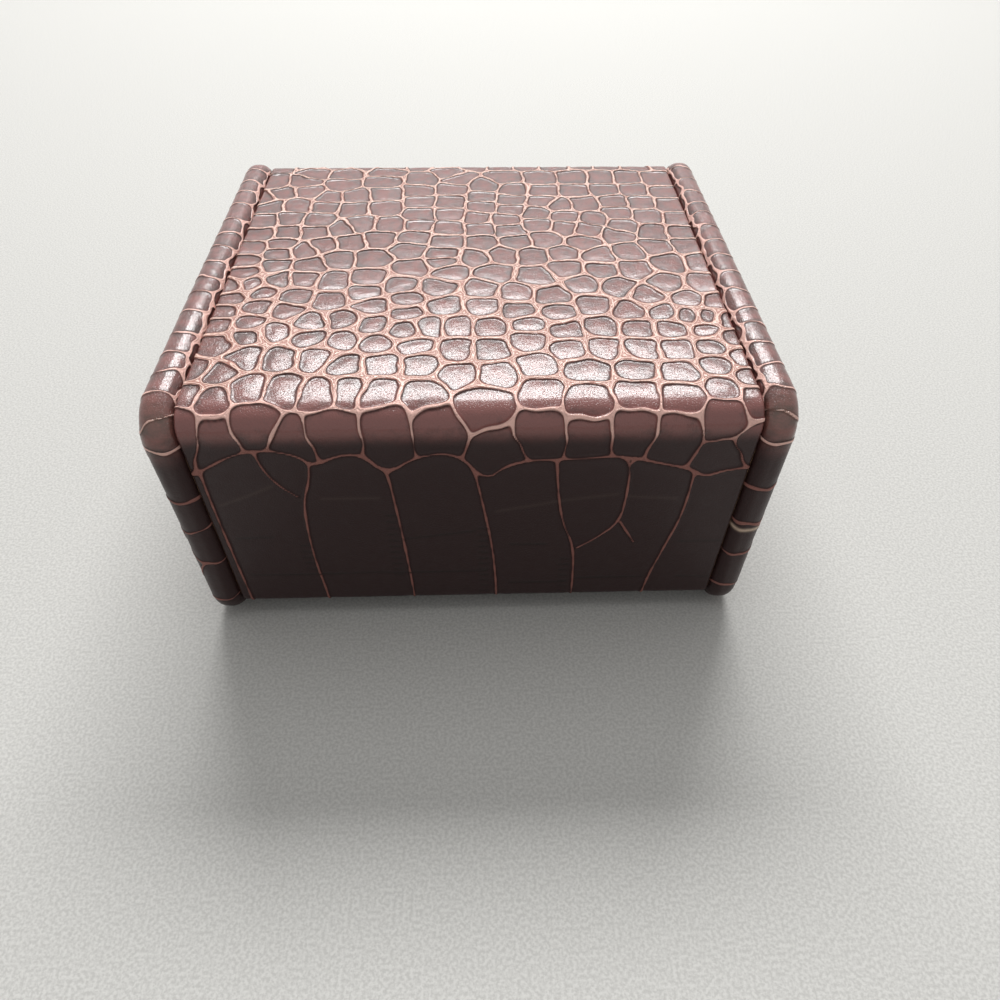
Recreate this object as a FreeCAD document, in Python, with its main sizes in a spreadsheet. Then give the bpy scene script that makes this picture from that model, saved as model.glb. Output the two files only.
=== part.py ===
"""A leather-covered cufflink box: two rolled-edge cheeks carry a hinged lid over a fixed
tray of twelve compartments, and a drawer that slides out below the tray.

The frame is in millimetres: +Z up, the drawer and the lid's opening edge face -Y, the
leather hinge runs along the back at +Y, and the origin is on the floor in the middle of
the two cheeks.
"""

import FreeCAD, Part
import itertools
import os
import Sketcher

doc = FreeCAD.newDocument("cufflink_box")
sheet = doc.addObject("Spreadsheet::Sheet", "sizes")

TOUCH = 1e-4  # how near a face or an edge counts as being at a place
parts = {}  # node name: the object that is written out
rows = itertools.count(1)


class Size:
    """A length that knows its value and the expression that ties it to the sheet."""

    def __init__(self, text, value):
        self.text = text
        self.value = value

    @staticmethod
    def of(other):
        return other if isinstance(other, Size) else Size(str(other), other)

    def __add__(self, other):
        other = Size.of(other)
        return Size(f"({self.text} + {other.text})", self.value + other.value)

    def __sub__(self, other):
        other = Size.of(other)
        return Size(f"({self.text} - {other.text})", self.value - other.value)

    def __mul__(self, share):
        return Size(f"({self.text} * {share})", self.value * share)

    def __truediv__(self, share):
        return Size(f"({self.text} / {share})", self.value / share)

    def __neg__(self):
        return Size(f"(0 - {self.text})", -self.value)


def driving(alias, value, note):
    """A driving dimension: one row of the sheet."""
    row = next(rows)
    sheet.set(f"A{row}", note)
    sheet.set(f"B{row}", str(value))
    sheet.setAlias(f"B{row}", alias)
    return Size(f"sizes.{alias}", value)


# ---------------------------------------------------------------- driving dimensions

overall_width = driving("overall_width", 160, "outside of one cheek to the other")
overall_depth = driving("overall_depth", 146, "front to back of a cheek")
overall_height = driving("overall_height", 82, "floor to the top of a cheek")

cheek_thick = driving("cheek_thick", 8.6, "a cheek over its leather")
cheek_corner = driving("cheek_corner", 11, "corner radius of a cheek's outline")
cheek_land = driving("cheek_land", 1, "flat along the middle of a cheek's rolled edge")
leather = driving("leather", 1, "thickness of the crocodile-print leather")
suede = driving("suede", 1, "thickness of the suede linings")
turn_in = driving("turn_in", 11, "width of leather turned over an edge")
leather_edge = driving("leather_edge", 0.9, "radius where leather turns an edge")
fold_roll = driving("fold_roll", 3, "radius where the back leather folds underneath")

reveal = driving("reveal", 2, "how far the body sits inside a cheek's outline")
floor_gap = driving("floor_gap", 6, "floor to the underside of the body")
side_gap = driving("side_gap", 0.5, "lid or leather to a cheek")
seam = driving("seam", 0.15, "round a lining let into leather")
board = driving("board", 5, "thickness of the carcass boards")

lid_thick = driving("lid_thick", 13, "lid over its leather")
lid_seat = driving("lid_seat", 0.3, "lid to the front panel below it")
liner = driving("liner", 0.4, "thickness of one leaf of the hinge liner")
liner_leaf = driving("liner_leaf", 12, "width of the liner's leaf on the lid")
liner_inset = driving("liner_inset", 6, "liner's end to the lid's end")

front_gap = driving("front_gap", 0.5, "drawer front to the panel above it")
shelf_up = driving("shelf_up", 1.5, "front panel board's foot to the shelf")
shelf_thick = driving("shelf_thick", 3, "thickness of the shelf")
shelf_tongue = driving("shelf_tongue", 2, "depth of the shelf's housings")

tray_wall = driving("tray_wall", 2, "thickness of the tray's walls and dividers")
tray_fit = driving("tray_fit", 0.2, "tray to the carcass round it")
tray_drop = driving("tray_drop", 0.8, "tray wall's top below the lid")
divider_drop = driving("divider_drop", 1.2, "divider's top below the tray wall's")
soft_edge = driving("soft_edge", 0.7, "radius of the suede-covered top edges")
tray_pad = driving("tray_pad", 1.5, "thickness of the pad on the tray's floor")
halving_fit = driving("halving_fit", 0.1, "clearance in the dividers' halving joints")

drawer_front_high = driving("drawer_front_high", 33.5, "drawer front over its leather")
drawer_gap = driving("drawer_gap", 0.6, "drawer front to a cheek")
drawer_play = driving("drawer_play", 0.8, "drawer side to a cheek's lining")
drawer_run = driving("drawer_run", 0.3, "drawer to the lining it runs on")
bay_suede = driving("bay_suede", 0.8, "thickness of the suede the drawer runs on")
drawer_wall = driving("drawer_wall", 3, "thickness of the drawer's sides and back")
drawer_floor = driving("drawer_floor", 2.5, "thickness of the drawer's bottom")
drawer_side_drop = driving("drawer_side_drop", 3.5, "drawer side below the front's top")
drawer_tongue = driving("drawer_tongue", 2, "depth of the housings for the sides' ends")
drawer_back_gap = driving("drawer_back_gap", 5, "drawer's back to the back board")
drawer_lap = driving("drawer_lap", 1.5, "depth of the grooves for the drawer's bottom")
groove_up = driving("groove_up", 1.5, "foot of a drawer side to its groove")
stop_inset = driving("stop_inset", 15.5, "front panel to the drawer stop")
stop_long = driving("stop_long", 60, "length of the drawer stop")
stop_deep = driving("stop_deep", 6, "front to back of the drawer stop")
stop_high = driving("stop_high", 3, "how far the drawer stop hangs below the shelf")
stop_bite = driving("stop_bite", 1.5, "overlap of drawer back and stop")
drawer_split = driving("drawer_split", 8, "middle of the box to the drawer's divider")
drawer_divider_drop = driving("drawer_divider_drop", 3, "divider below the lining's rim")
drawer_suede_drop = driving("drawer_suede_drop", 0.5, "lining's rim below a side's top")

tab_wide = driving("tab_wide", 18, "width of a pull tab")
tab_thick = driving("tab_thick", 1.4, "thickness of a pull tab, two plies")
tab_hang = driving("tab_hang", 14, "how far a pull tab hangs down")
tab_root = driving("tab_root", 13, "how far the lid's tab reaches into the lid")
tab_stand = driving("tab_stand", 0.5, "pull tab to the leather behind it")
tab_bend = driving("tab_bend", 0.4, "inside radius where a tab bends")
tab_round = driving("tab_round", 6, "radius of a tab's free corners")
tab_slot = driving("tab_slot", 0.2, "clearance of a tab in its slot")
lid_tab_up = driving("lid_tab_up", 3, "lid's underside to its tab's slot")
drawer_tab_down = driving("drawer_tab_down", 9, "drawer front's top to its tab's slot")
tab_tail = driving("tab_tail", 7, "tab's tail let into the back of the drawer front")

dowel_wide = driving("dowel_wide", 3, "diameter of a dowel")
dowel_fit = driving("dowel_fit", 0.1, "dowel hole's diameter over the dowel's")
dowel_in_cheek = driving("dowel_in_cheek", 5, "dowel's length in a cheek")
dowel_in_board = driving("dowel_in_board", 9, "dowel's length in a carcass board")
dowel_relief = driving("dowel_relief", 0.5, "air at each end of a dowel")
base_dowels = driving("base_dowels", 40, "middle to a dowel in the base")

magnet_long = driving("magnet_long", 20, "length of a catch magnet")
magnet_wide = driving("magnet_wide", 3.4, "width of a catch magnet")
magnet_thick = driving("magnet_thick", 2, "thickness of a catch magnet")
magnet_out = driving("magnet_out", 44, "middle to a catch magnet's middle")

COMPARTMENTS_ACROSS = 4
COMPARTMENTS_DEEP = 3

# ------------------------------------------------------------------ derived places

half_depth = overall_depth / 2
inner_x = overall_width / 2 - cheek_thick  # inner face of a cheek
cheek_roll = (cheek_thick - cheek_land) / 2
face_y = half_depth - reveal  # outer leather of front and back, as a distance from 0
board_y = face_y - leather  # outer face of the front and back boards
room_y = board_y - board  # inner face of the front and back boards
cover_x = inner_x - side_gap  # end of the lid and of the outer leathers
body_top = overall_height - reveal
body_roll = cheek_corner - reveal  # the lid's rolled edges follow the cheeks' corners
lid_under = body_top - lid_thick
base_low = floor_gap + leather
base_high = base_low + board
bay_floor = base_high + bay_suede
back_high = lid_under - liner * 2
drawer_low = floor_gap + front_gap
drawer_top = drawer_low + drawer_front_high
front_split = drawer_top + front_gap  # foot of the front panel's leather
panel_low = front_split + leather
panel_high = lid_under - lid_seat
shelf_level = panel_low + shelf_up
shelf_high = shelf_level + shelf_thick
catch_y = board_y - board / 2  # middle of the front and back boards
drawer_rear = room_y - drawer_back_gap
stop_front = -room_y + stop_inset


# ----------------------------------------------------------------------- helpers


def bind(thing, prop, size):
    """Sets a property from a size and keeps it tied to the sheet."""
    thing.setExpression(prop, Size.of(size).text)


def bind_place(thing, place, prop="Placement"):
    """Ties a placement's base to three sizes."""
    for letter, size in zip("xyz", place):
        bind(thing, f"{prop}.Base.{letter}", size)


def sorted_sizes(a, b):
    """Two sizes, the lower first."""
    return (a, b) if a.value < b.value else (b, a)


def at(value, size):
    """True where a coordinate lies at a size."""
    return abs(value - Size.of(size).value) < TOUCH


def new_body(name):
    body = doc.addObject("PartDesign::Body", name)
    body.Label = name
    return body


def sketch_on(body, role, offset=0):
    """A sketch on one of the body's origin planes, moved along its normal."""
    sketch = body.newObject("Sketcher::SketchObject", f"{body.Name}_sketch")
    plane = next(f for f in body.Origin.OriginFeatures if f.Role == role)
    sketch.AttachmentSupport = (plane, [""])
    sketch.MapMode = "FlatFace"
    bind(sketch, "AttachmentOffset.Base.z", offset)
    return sketch


def polygon(sketch, corners):
    """A closed outline whose every corner is held by two sizes."""
    corners = [(Size.of(x), Size.of(y)) for x, y in corners]
    points = [FreeCAD.Vector(x.value, y.value, 0) for x, y in corners]
    first = sketch.GeometryCount
    count = len(points)
    for index, point in enumerate(points):
        line = Part.LineSegment(point, points[(index + 1) % count])
        sketch.addGeometry(line, False)
    for index in range(count):
        here, after = first + index, first + (index + 1) % count
        sketch.addConstraint(Sketcher.Constraint("Coincident", here, 2, after, 1))
    for index, (x, y) in enumerate(corners):
        for kind, size in (("DistanceX", x), ("DistanceY", y)):
            held = Sketcher.Constraint(kind, -1, 1, first + index, 1, size.value)
            number = sketch.addConstraint(held)
            name = f"{kind}_{first + index}"
            sketch.renameConstraint(number, name)
            bind(sketch, f"Constraints.{name}", size)
    return sketch


def pad(body, sketch, length, midplane=False):
    feature = body.newObject("PartDesign::Pad", f"{body.Name}_pad")
    feature.Profile = sketch
    feature.Midplane = midplane
    bind(feature, "Length", length)
    doc.recompute()
    return feature


def fillet(body, feature, radius, wanted):
    """Rounds the edges that wanted(edge) picks."""
    edges = [f"Edge{i + 1}" for i, e in enumerate(feature.Shape.Edges) if wanted(e)]
    rounded = body.newObject("PartDesign::Fillet", f"{body.Name}_fillet")
    rounded.Base = (feature, edges)
    bind(rounded, "Radius", radius)
    doc.recompute()
    return rounded


def pocket_box(body, low, high):
    """Cuts a rectangular recess, groove or slot out of a body."""
    box = body.newObject("PartDesign::SubtractiveBox", f"{body.Name}_recess")
    for prop, a, b in zip(("Length", "Width", "Height"), low, high):
        bind(box, prop, b - a)
    bind_place(box, low)
    doc.recompute()
    return box


def slab(name, low, high):
    """A flat piece between two opposite corners."""
    body = new_body(name)
    (x0, y0, z0), (x1, y1, z1) = low, high
    sketch = sketch_on(body, "XY_Plane", z0)
    polygon(sketch, [(x0, y0), (x1, y0), (x1, y1), (x0, y1)])
    pad(body, sketch, z1 - z0)
    return body


def soften_top(body, top):
    """Rounds the long top edges of a thin upright wall."""
    box = body.Tip.Shape.BoundBox
    shortest = min(box.XLength, box.YLength)

    def long_top(e):
        return at(e.CenterOfMass.z, top) and e.Length > shortest + TOUCH

    return fillet(body, body.Tip, soft_edge, long_top)


def extrusion(name, corners, width):
    """A profile in the YZ plane, extruded evenly both ways along X."""
    body = new_body(name)
    feature = pad(body, polygon(sketch_on(body, "YZ_Plane"), corners), width, True)
    return body, feature


def edge_runs(edge, letter):
    """True for a straight edge along one axis."""
    if edge.Curve.TypeId != "Part::GeomLine":
        return False
    return abs(getattr(edge.tangentAt(edge.FirstParameter), letter)) > 1 - TOUCH


def cut(name, base, *tools):
    """base less tools, as an object of its own."""
    tool = tools[0]
    if len(tools) > 1:
        tool = doc.addObject("Part::MultiFuse", f"{name}_tools")
        tool.Shapes = list(tools)
    result = doc.addObject("Part::Cut", f"{name}_cut")
    result.Base = base
    result.Tool = tool
    doc.recompute()
    return result


def group(name, pieces):
    """Several alike pieces that share one node."""
    result = doc.addObject("Part::Compound", f"{name}_group")
    result.Links = pieces
    doc.recompute()
    return result


def keep(name, thing):
    """Hands an object in as the node of that name."""
    thing.Label = name
    parts[name] = thing
    return thing


# ------------------------------------------------------------------------ dowels


def dowel(name, side, y, z, diameter, relief):
    """A rod along X from inside a cheek into the end of a carcass board."""
    rod = doc.addObject("Part::Cylinder", name)
    bind(rod, "Radius", diameter / 2)
    bind(rod, "Height", dowel_in_cheek + dowel_in_board + relief * 2)
    rod.Placement.Rotation = FreeCAD.Rotation(FreeCAD.Vector(0, 1, 0), 90 * side)
    inner_end = inner_x - dowel_in_board - relief
    bind_place(rod, (inner_end * side, y, z))
    return rod


def dowels():
    """The rods that peg the cheeks to the base, back and front panel, and their holes."""
    base_z = (base_low + base_high) / 2
    low_z = (base_high + shelf_level) / 2
    high_z = (shelf_high + panel_high - leather) / 2
    places = [
        (-base_dowels, base_z),
        (base_dowels, base_z),
        (catch_y, low_z),
        (catch_y, high_z),
        (-catch_y, high_z),
    ]
    rods, holes = [], []
    for side in (-1, 1):
        for y, z in places:
            rods.append(dowel("dowel", side, y, z, dowel_wide, Size.of(0)))
            wide = dowel_wide + dowel_fit
            holes.append(dowel("dowel_hole", side, y, z, wide, dowel_relief))
    keep("carcass_dowels", group("carcass_dowels", rods))
    result = doc.addObject("Part::MultiFuse", "dowel_holes")
    result.Shapes = holes
    doc.recompute()
    return result


# ------------------------------------------------------------------------ cheeks


def rolled_panel(name, side, inset, thick_inset):
    """A rounded upright panel with rolled edges, set in from a cheek's outline."""
    body = new_body(name)
    outer = overall_width / 2 - thick_inset
    inner = inner_x + thick_inset
    low_x = inner if side > 0 else -outer
    y, z0, z1 = half_depth - inset, inset, overall_height - inset
    sketch = sketch_on(body, "YZ_Plane", low_x)
    polygon(sketch, [(-y, z0), (y, z0), (y, z1), (-y, z1)])
    feature = pad(body, sketch, outer - inner)
    feature = fillet(body, feature, cheek_corner - inset, lambda e: edge_runs(e, "x"))
    fillet(body, feature, cheek_roll - inset, lambda e: not edge_runs(e, "x"))
    return body


def cheek(word, side, holes):
    """One cheek: a board with rolled edges, its leather turned in, and its lining."""
    wrap = rolled_panel(f"{word}_cheek_wrap", side, Size.of(0), Size.of(0))
    blank = rolled_panel(f"{word}_cheek_blank", side, leather, leather)
    y, z0, z1 = half_depth - turn_in, turn_in, overall_height - turn_in
    face, depth = inner_x * side, suede * side

    def window(name, grown):
        low_x, high_x = sorted_sizes(face, face + depth)
        low = (low_x, -y - grown, z0 - grown)
        high = (high_x, y + grown, z1 + grown)
        return slab(name, low, high)

    opening = window(f"{word}_cheek_window", seam)
    lining = window(f"{word}_cheek_inner", Size.of(0))
    keep(f"{word}_cheek_board", cut(f"{word}_board", blank, holes))
    covering = cut(f"{word}_leather", wrap, blank, opening, holes)
    keep(f"{word}_cheek_leather", covering)
    keep(f"{word}_cheek_lining", cut(f"{word}_lining", lining, holes))


# ----------------------------------------------------------------------- carcass


def carcass(holes):
    """Base, back, shelf and front panel between the cheeks, with their coverings."""
    front_end = -room_y + drawer_run
    x = inner_x

    base = slab("base_blank", (-x, front_end, base_low), (x, room_y, base_high))
    keep("base_board", cut("base", base, holes))
    cover_end = face_y - turn_in - seam
    low, high = (-x, front_end, floor_gap), (x, cover_end, base_low)
    keep("base_cover", slab("base_cover", low, high))
    low, high = (-x, front_end, base_high), (x, room_y, bay_floor)
    keep("bay_lining", slab("bay_lining", low, high))

    def at_fold(e, y, z):
        return edge_runs(e, "x") and at(e.CenterOfMass.y, y) and at(e.CenterOfMass.z, z)

    def outer_end(e):
        return edge_runs(e, "z") and at(e.CenterOfMass.y, face_y)

    back = slab("back_blank", (-x, room_y, base_low), (x, board_y, back_high))
    inner_roll = fold_roll - leather
    fillet(back, back.Tip, inner_roll, lambda e: at_fold(e, board_y, base_low))
    groove_low = (-x, room_y, shelf_level)
    groove_high = (x, room_y + shelf_tongue, shelf_high)
    pocket_box(back, groove_low, groove_high)
    keep("back_board", cut("back", back, holes))
    under = face_y - turn_in
    hook = [
        (face_y, floor_gap),
        (face_y, lid_under),
        (board_y, lid_under),
        (board_y, base_low),
        (under, base_low),
        (under, floor_gap),
    ]
    body, feature = extrusion("back_leather", hook, cover_x * 2)
    feature = fillet(body, feature, fold_roll, lambda e: at_fold(e, face_y, floor_gap))
    feature = fillet(body, feature, inner_roll, lambda e: at_fold(e, board_y, base_low))
    fillet(body, feature, leather_edge, outer_end)
    keep("back_leather", body)

    tongue = room_y + shelf_tongue
    keep("shelf", slab("shelf", (-x, -tongue, shelf_level), (x, tongue, shelf_high)))

    low, high = (-x, -board_y, panel_low), (x, -room_y, panel_high - leather)
    panel = slab("panel_blank", low, high)
    pocket_box(panel, (-x, -tongue, shelf_level), (x, -room_y, shelf_high))
    for side in (-1, 1):
        pocket_box(panel, *magnet_corners(side, panel_high - leather - magnet_thick))
    keep("front_panel_board", cut("front_panel", panel, holes))
    channel = [
        (-face_y, front_split),
        (-room_y, front_split),
        (-room_y, panel_low),
        (-board_y, panel_low),
        (-board_y, panel_high - leather),
        (-room_y, panel_high - leather),
        (-room_y, panel_high),
        (-face_y, panel_high),
    ]
    body, feature = extrusion("front_panel_leather", channel, cover_x * 2)
    fillet(body, feature, leather_edge, lambda e: at(e.CenterOfMass.y, -face_y))
    keep("front_panel_leather", body)


def magnet_corners(side, low_z):
    """Opposite corners of a catch magnet or its steel, on one side of the middle."""
    middle = magnet_out * side
    low = (middle - magnet_long / 2, -catch_y - magnet_wide / 2, low_z)
    high = (middle + magnet_long / 2, -catch_y + magnet_wide / 2, low_z + magnet_thick)
    return low, high


def catches():
    """Magnets in the lid's front edge, over steel plates in the front panel's top."""
    magnets, plates = [], []
    for side in (-1, 1):
        magnets.append(slab("lid_magnet", *magnet_corners(side, lid_under + leather)))
        plate_z = panel_high - leather - magnet_thick
        plates.append(slab("catch_plate", *magnet_corners(side, plate_z)))
    keep("lid_magnets", group("lid_magnets", magnets))
    keep("catch_plates", group("catch_plates", plates))


def drawer_stop():
    """A block under the shelf that the drawer's back meets when it is pulled out."""
    low = (-stop_long / 2, stop_front, shelf_level - stop_high)
    high = (stop_long / 2, stop_front + stop_deep, shelf_level)
    keep("drawer_stop", slab("drawer_stop", low, high))


# -------------------------------------------------------------------------- tray


def tray():
    """A pad, four walls and an egg-crate of dividers that make the compartments."""
    x, y = inner_x - tray_fit, room_y - tray_fit
    rim = lid_under - tray_drop
    inside_x, inside_y = x - tray_wall, y - tray_wall
    floor = shelf_high + tray_pad

    low, high = (-inside_x, -inside_y, shelf_high), (inside_x, inside_y, floor)
    keep("tray_floor_pad", slab("tray_floor_pad", low, high))
    walls = {
        "tray_front_wall": ((-x, -y), (x, -inside_y)),
        "tray_back_wall": ((-x, inside_y), (x, y)),
        "tray_left_wall": ((-x, -inside_y), (-inside_x, inside_y)),
        "tray_right_wall": ((inside_x, -inside_y), (x, inside_y)),
    }
    for name, (a, b) in walls.items():
        body = slab(name, (*a, shelf_high), (*b, rim))
        soften_top(body, rim)
        keep(name, body)

    top = rim - divider_drop
    across = divider_places(inside_x, COMPARTMENTS_ACROSS)
    deep = divider_places(inside_y, COMPARTMENTS_DEEP)
    half, slot = tray_wall / 2, tray_wall / 2 + halving_fit
    middle = (floor + top) / 2
    for number, y in enumerate(deep, 1):
        name = f"tray_long_divider_{number}"
        body = slab(name, (-inside_x, y - half, floor), (inside_x, y + half, top))
        soften_top(body, top)
        for x in across:
            pocket_box(body, (x - slot, y - half, floor), (x + slot, y + half, middle))
        keep(name, body)
    for number, x in enumerate(across, 1):
        name = f"tray_cross_divider_{number}"
        body = slab(name, (x - half, -inside_y, floor), (x + half, inside_y, top))
        soften_top(body, top)
        for y in deep:
            pocket_box(body, (x - half, y - slot, middle), (x + half, y + slot, top))
        keep(name, body)


def divider_places(inside, count):
    """Middles of the dividers that part a tray, from -inside to +inside, into equals."""
    clear = (inside * 2 - tray_wall * (count - 1)) / count
    pitch = clear + tray_wall
    return [pitch * (number - count / 2) for number in range(1, count)]


# --------------------------------------------------------------------------- lid


def rolled_lid(name, inset):
    """The lid's solid, rolled front and back, set in from the outside of its leather."""
    y, z0, z1 = face_y - inset, lid_under + inset, body_top - inset
    outline = [(-y, z0), (y, z0), (y, z1), (-y, z1)]
    body, feature = extrusion(name, outline, (cover_x - inset) * 2)
    rolled = fillet(
        body,
        feature,
        body_roll - inset,
        lambda e: edge_runs(e, "x") and at(e.CenterOfMass.z, z1),
    )
    return body, rolled


def lid():
    """Lid board in its leather, with the suede pad underneath and the hinge liner."""
    wrap, feature = rolled_lid("lid_wrap", Size.of(0))

    def turned(e):
        front_edge = at(e.CenterOfMass.y, -face_y) and at(e.CenterOfMass.z, lid_under)
        return at(abs(e.CenterOfMass.x), cover_x) or front_edge

    fillet(wrap, feature, leather_edge, turned)
    blank, _ = rolled_lid("lid_blank", leather)
    x, y, z = cover_x - turn_in, face_y - turn_in, lid_under + leather
    low, high = (-x - seam, -y - seam, lid_under), (x + seam, y + seam, z)
    opening = slab("lid_window", low, high)
    keep("lid_lining", slab("lid_lining", (-x, -y, lid_under), (x, y, z)))

    slot_z = lid_under + lid_tab_up
    wide = tab_wide / 2 + tab_slot
    low = (-wide, -face_y - leather, slot_z - tab_slot)
    high = (wide, -face_y + tab_root + tab_slot, slot_z + tab_thick + tab_slot)
    slot = slab("lid_tab_slot", low, high)
    keep("lid_leather", cut("lid_leather", wrap, blank, opening, slot))
    pockets = [
        slab("magnet_pocket", *magnet_corners(side, lid_under + leather))
        for side in (-1, 1)
    ]
    keep("lid_board", cut("lid_board", blank, slot, *pockets))

    outside = -face_y - tab_stand
    strap = [
        (-face_y + tab_root, slot_z),
        (-face_y + tab_root, slot_z + tab_thick),
        (outside - tab_thick, slot_z + tab_thick),
        (outside - tab_thick, slot_z - tab_hang),
        (outside, slot_z - tab_hang),
        (outside, slot_z),
    ]
    keep("lid_pull_tab", pull_tab("lid_pull_tab", strap, slot_z, outside))

    end = cover_x - liner_inset
    leaf = slab("liner_low", (-end, room_y, back_high), (end, board_y, back_high + liner))
    keep("hinge_liner_lower", leaf)
    low = (-end, board_y - liner_leaf, lid_under - liner)
    keep("hinge_liner_upper", slab("liner_high", low, (end, board_y, lid_under)))


def pull_tab(name, strap, bend_z, outside):
    """A leather strap that comes out of a slot, bends down and hangs, with a round end."""
    body, feature = extrusion(name, strap, tab_wide)

    def upper(e):
        return at(e.CenterOfMass.z, bend_z + tab_thick) and edge_runs(e, "x")

    def lower(e):
        return at(e.CenterOfMass.z, bend_z) and at(e.CenterOfMass.y, outside)

    outer = outside - tab_thick
    feature = fillet(
        body,
        feature,
        tab_bend + tab_thick,
        lambda e: upper(e) and at(e.CenterOfMass.y, outer),
    )
    feature = fillet(body, feature, tab_bend, lambda e: lower(e) and edge_runs(e, "x"))
    tip = bend_z - tab_hang
    fillet(
        body,
        feature,
        tab_round,
        lambda e: edge_runs(e, "y") and at(e.CenterOfMass.z, tip),
    )
    return body


# ------------------------------------------------------------------------ drawer


def drawer():
    """Leather-faced front, two sides, back and bottom, with a suede insert and divider."""
    low_z, high_z = bay_floor + drawer_run, drawer_top - drawer_side_drop
    side_out = inner_x - drawer_play
    side_in = side_out - drawer_wall
    rear = drawer_rear
    groove_low = low_z + groove_up
    groove_high = groove_low + drawer_floor

    x = inner_x - drawer_gap
    low, high = (-x, -face_y, drawer_low), (x, -room_y, drawer_top)
    wrap = slab("drawer_front_wrap", low, high)
    fillet(wrap, wrap.Tip, leather_edge, lambda e: not at(e.CenterOfMass.y, -room_y))
    low = (-x + leather, -board_y, drawer_low + leather)
    high = (x - leather, -room_y, drawer_top - leather)
    blank = slab("drawer_front_blank", low, high)

    slot_z = drawer_top - drawer_tab_down
    wide = tab_wide / 2 + tab_slot
    low = (-wide, -face_y - leather, slot_z - tab_slot)
    high = (wide, -room_y + leather, slot_z + tab_thick + tab_slot)
    slot = slab("drawer_tab_slot", low, high)
    depth = tab_thick + tab_slot
    low = (-wide, -room_y - depth, slot_z - tab_tail - tab_slot)
    tail = slab("drawer_tab_tail", low, (wide, -room_y + leather, slot_z))
    low = (-side_in - drawer_lap, -room_y - drawer_lap, groove_low)
    high = (side_in + drawer_lap, -room_y + leather, groove_high)
    groove = slab("drawer_front_groove", low, high)
    housings = []
    for side in (-1, 1):
        low_x, high_x = sorted_sizes(side_in * side, (side_in + drawer_lap) * side)
        low = (low_x, -room_y - drawer_tongue, low_z)
        housings.append(slab("drawer_housing", low, (high_x, -room_y + leather, high_z)))
    keep("drawer_front_leather", cut("drawer_leather", wrap, blank, slot))
    board_cuts = (slot, tail, groove, *housings)
    keep("drawer_front_board", cut("drawer_front", blank, *board_cuts))

    outside = -face_y - tab_stand
    strap = [
        (-room_y, slot_z - tab_tail),
        (-room_y, slot_z + tab_thick),
        (outside - tab_thick, slot_z + tab_thick),
        (outside - tab_thick, slot_z - tab_hang),
        (outside, slot_z - tab_hang),
        (outside, slot_z),
        (-room_y - tab_thick, slot_z),
        (-room_y - tab_thick, slot_z - tab_tail),
    ]
    keep("drawer_pull_tab", pull_tab("drawer_pull_tab", strap, slot_z, outside))

    for word, side in (("left", -1), ("right", 1)):
        name = f"drawer_{word}_side"
        front, shoulder = -room_y - drawer_tongue, side_in + drawer_lap
        outline = [
            (side_in * side, front),
            (shoulder * side, front),
            (shoulder * side, -room_y),
            (side_out * side, -room_y),
            (side_out * side, rear),
            (side_in * side, rear),
        ]
        body = new_body(name)
        pad(body, polygon(sketch_on(body, "XY_Plane", low_z), outline), high_z - low_z)
        soften_top(body, high_z)
        low_x, high_x = sorted_sizes(side_in * side, shoulder * side)
        pocket_box(body, (low_x, front, groove_low), (high_x, rear, groove_high))
        keep(name, body)

    back_top = shelf_level - stop_high + stop_bite
    low, high = (-side_in, rear - drawer_wall, groove_high), (side_in, rear, back_top)
    body = slab("drawer_back", low, high)
    soften_top(body, back_top)
    keep("drawer_back", body)
    low = (-side_in - drawer_lap, -room_y - drawer_lap, groove_low)
    high = (side_in + drawer_lap, rear, groove_high)
    keep("drawer_bottom", slab("drawer_bottom", low, high))

    rim = high_z - drawer_suede_drop
    inside = rear - drawer_wall
    body = slab("drawer_lining", (-side_in, -room_y, groove_high), (side_in, inside, rim))
    inner_low = (-side_in + suede, -room_y + suede, groove_high + suede)
    inner_high = (side_in - suede, inside - suede, rim)
    pocket_box(body, inner_low, inner_high)
    keep("drawer_lining", body)
    half = tray_wall / 2
    top = rim - drawer_divider_drop
    low = (inner_low[0], drawer_split - half, inner_low[2])
    body = slab("drawer_divider", low, (inner_high[0], drawer_split + half, top))
    soften_top(body, top)
    keep("drawer_divider", body)


# ------------------------------------------------------------------------- build


def check_and_write():
    """Stops on any failed object, then writes one STEP file for each node."""
    doc.recompute()
    failed = [o.Name for o in doc.Objects if {"Invalid", "Error"} & set(o.State)]
    if failed:
        raise RuntimeError(f"failed objects: {failed}")
    os.makedirs("parts", exist_ok=True)
    for name, thing in parts.items():
        shape = thing.Shape
        if shape.isNull() or not shape.isValid() or not shape.Solids:
            raise RuntimeError(f"{name} has no valid solid")
    for name, thing in parts.items():
        thing.Shape.exportStep(f"parts/{name}.step")


holes = dowels()
for word, side in (("left", -1), ("right", 1)):
    cheek(word, side, holes)
carcass(holes)
catches()
drawer_stop()
tray()
lid()
drawer()
check_and_write()
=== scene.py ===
"""Looks of a cufflink box with a drawer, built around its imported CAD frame.

All sizes are in millimetres of the row frame unless a name says otherwise, and turn to metres
when a mesh is made. The back of the box, with the leather hinge, faces +Y; the drawer faces -Y.
"""

import logging
import math
from dataclasses import dataclass, field
from enum import Enum
from functools import partial
from typing import Callable, Sequence

import bpy
import numpy as np
from mathutils import Matrix, Vector


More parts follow.
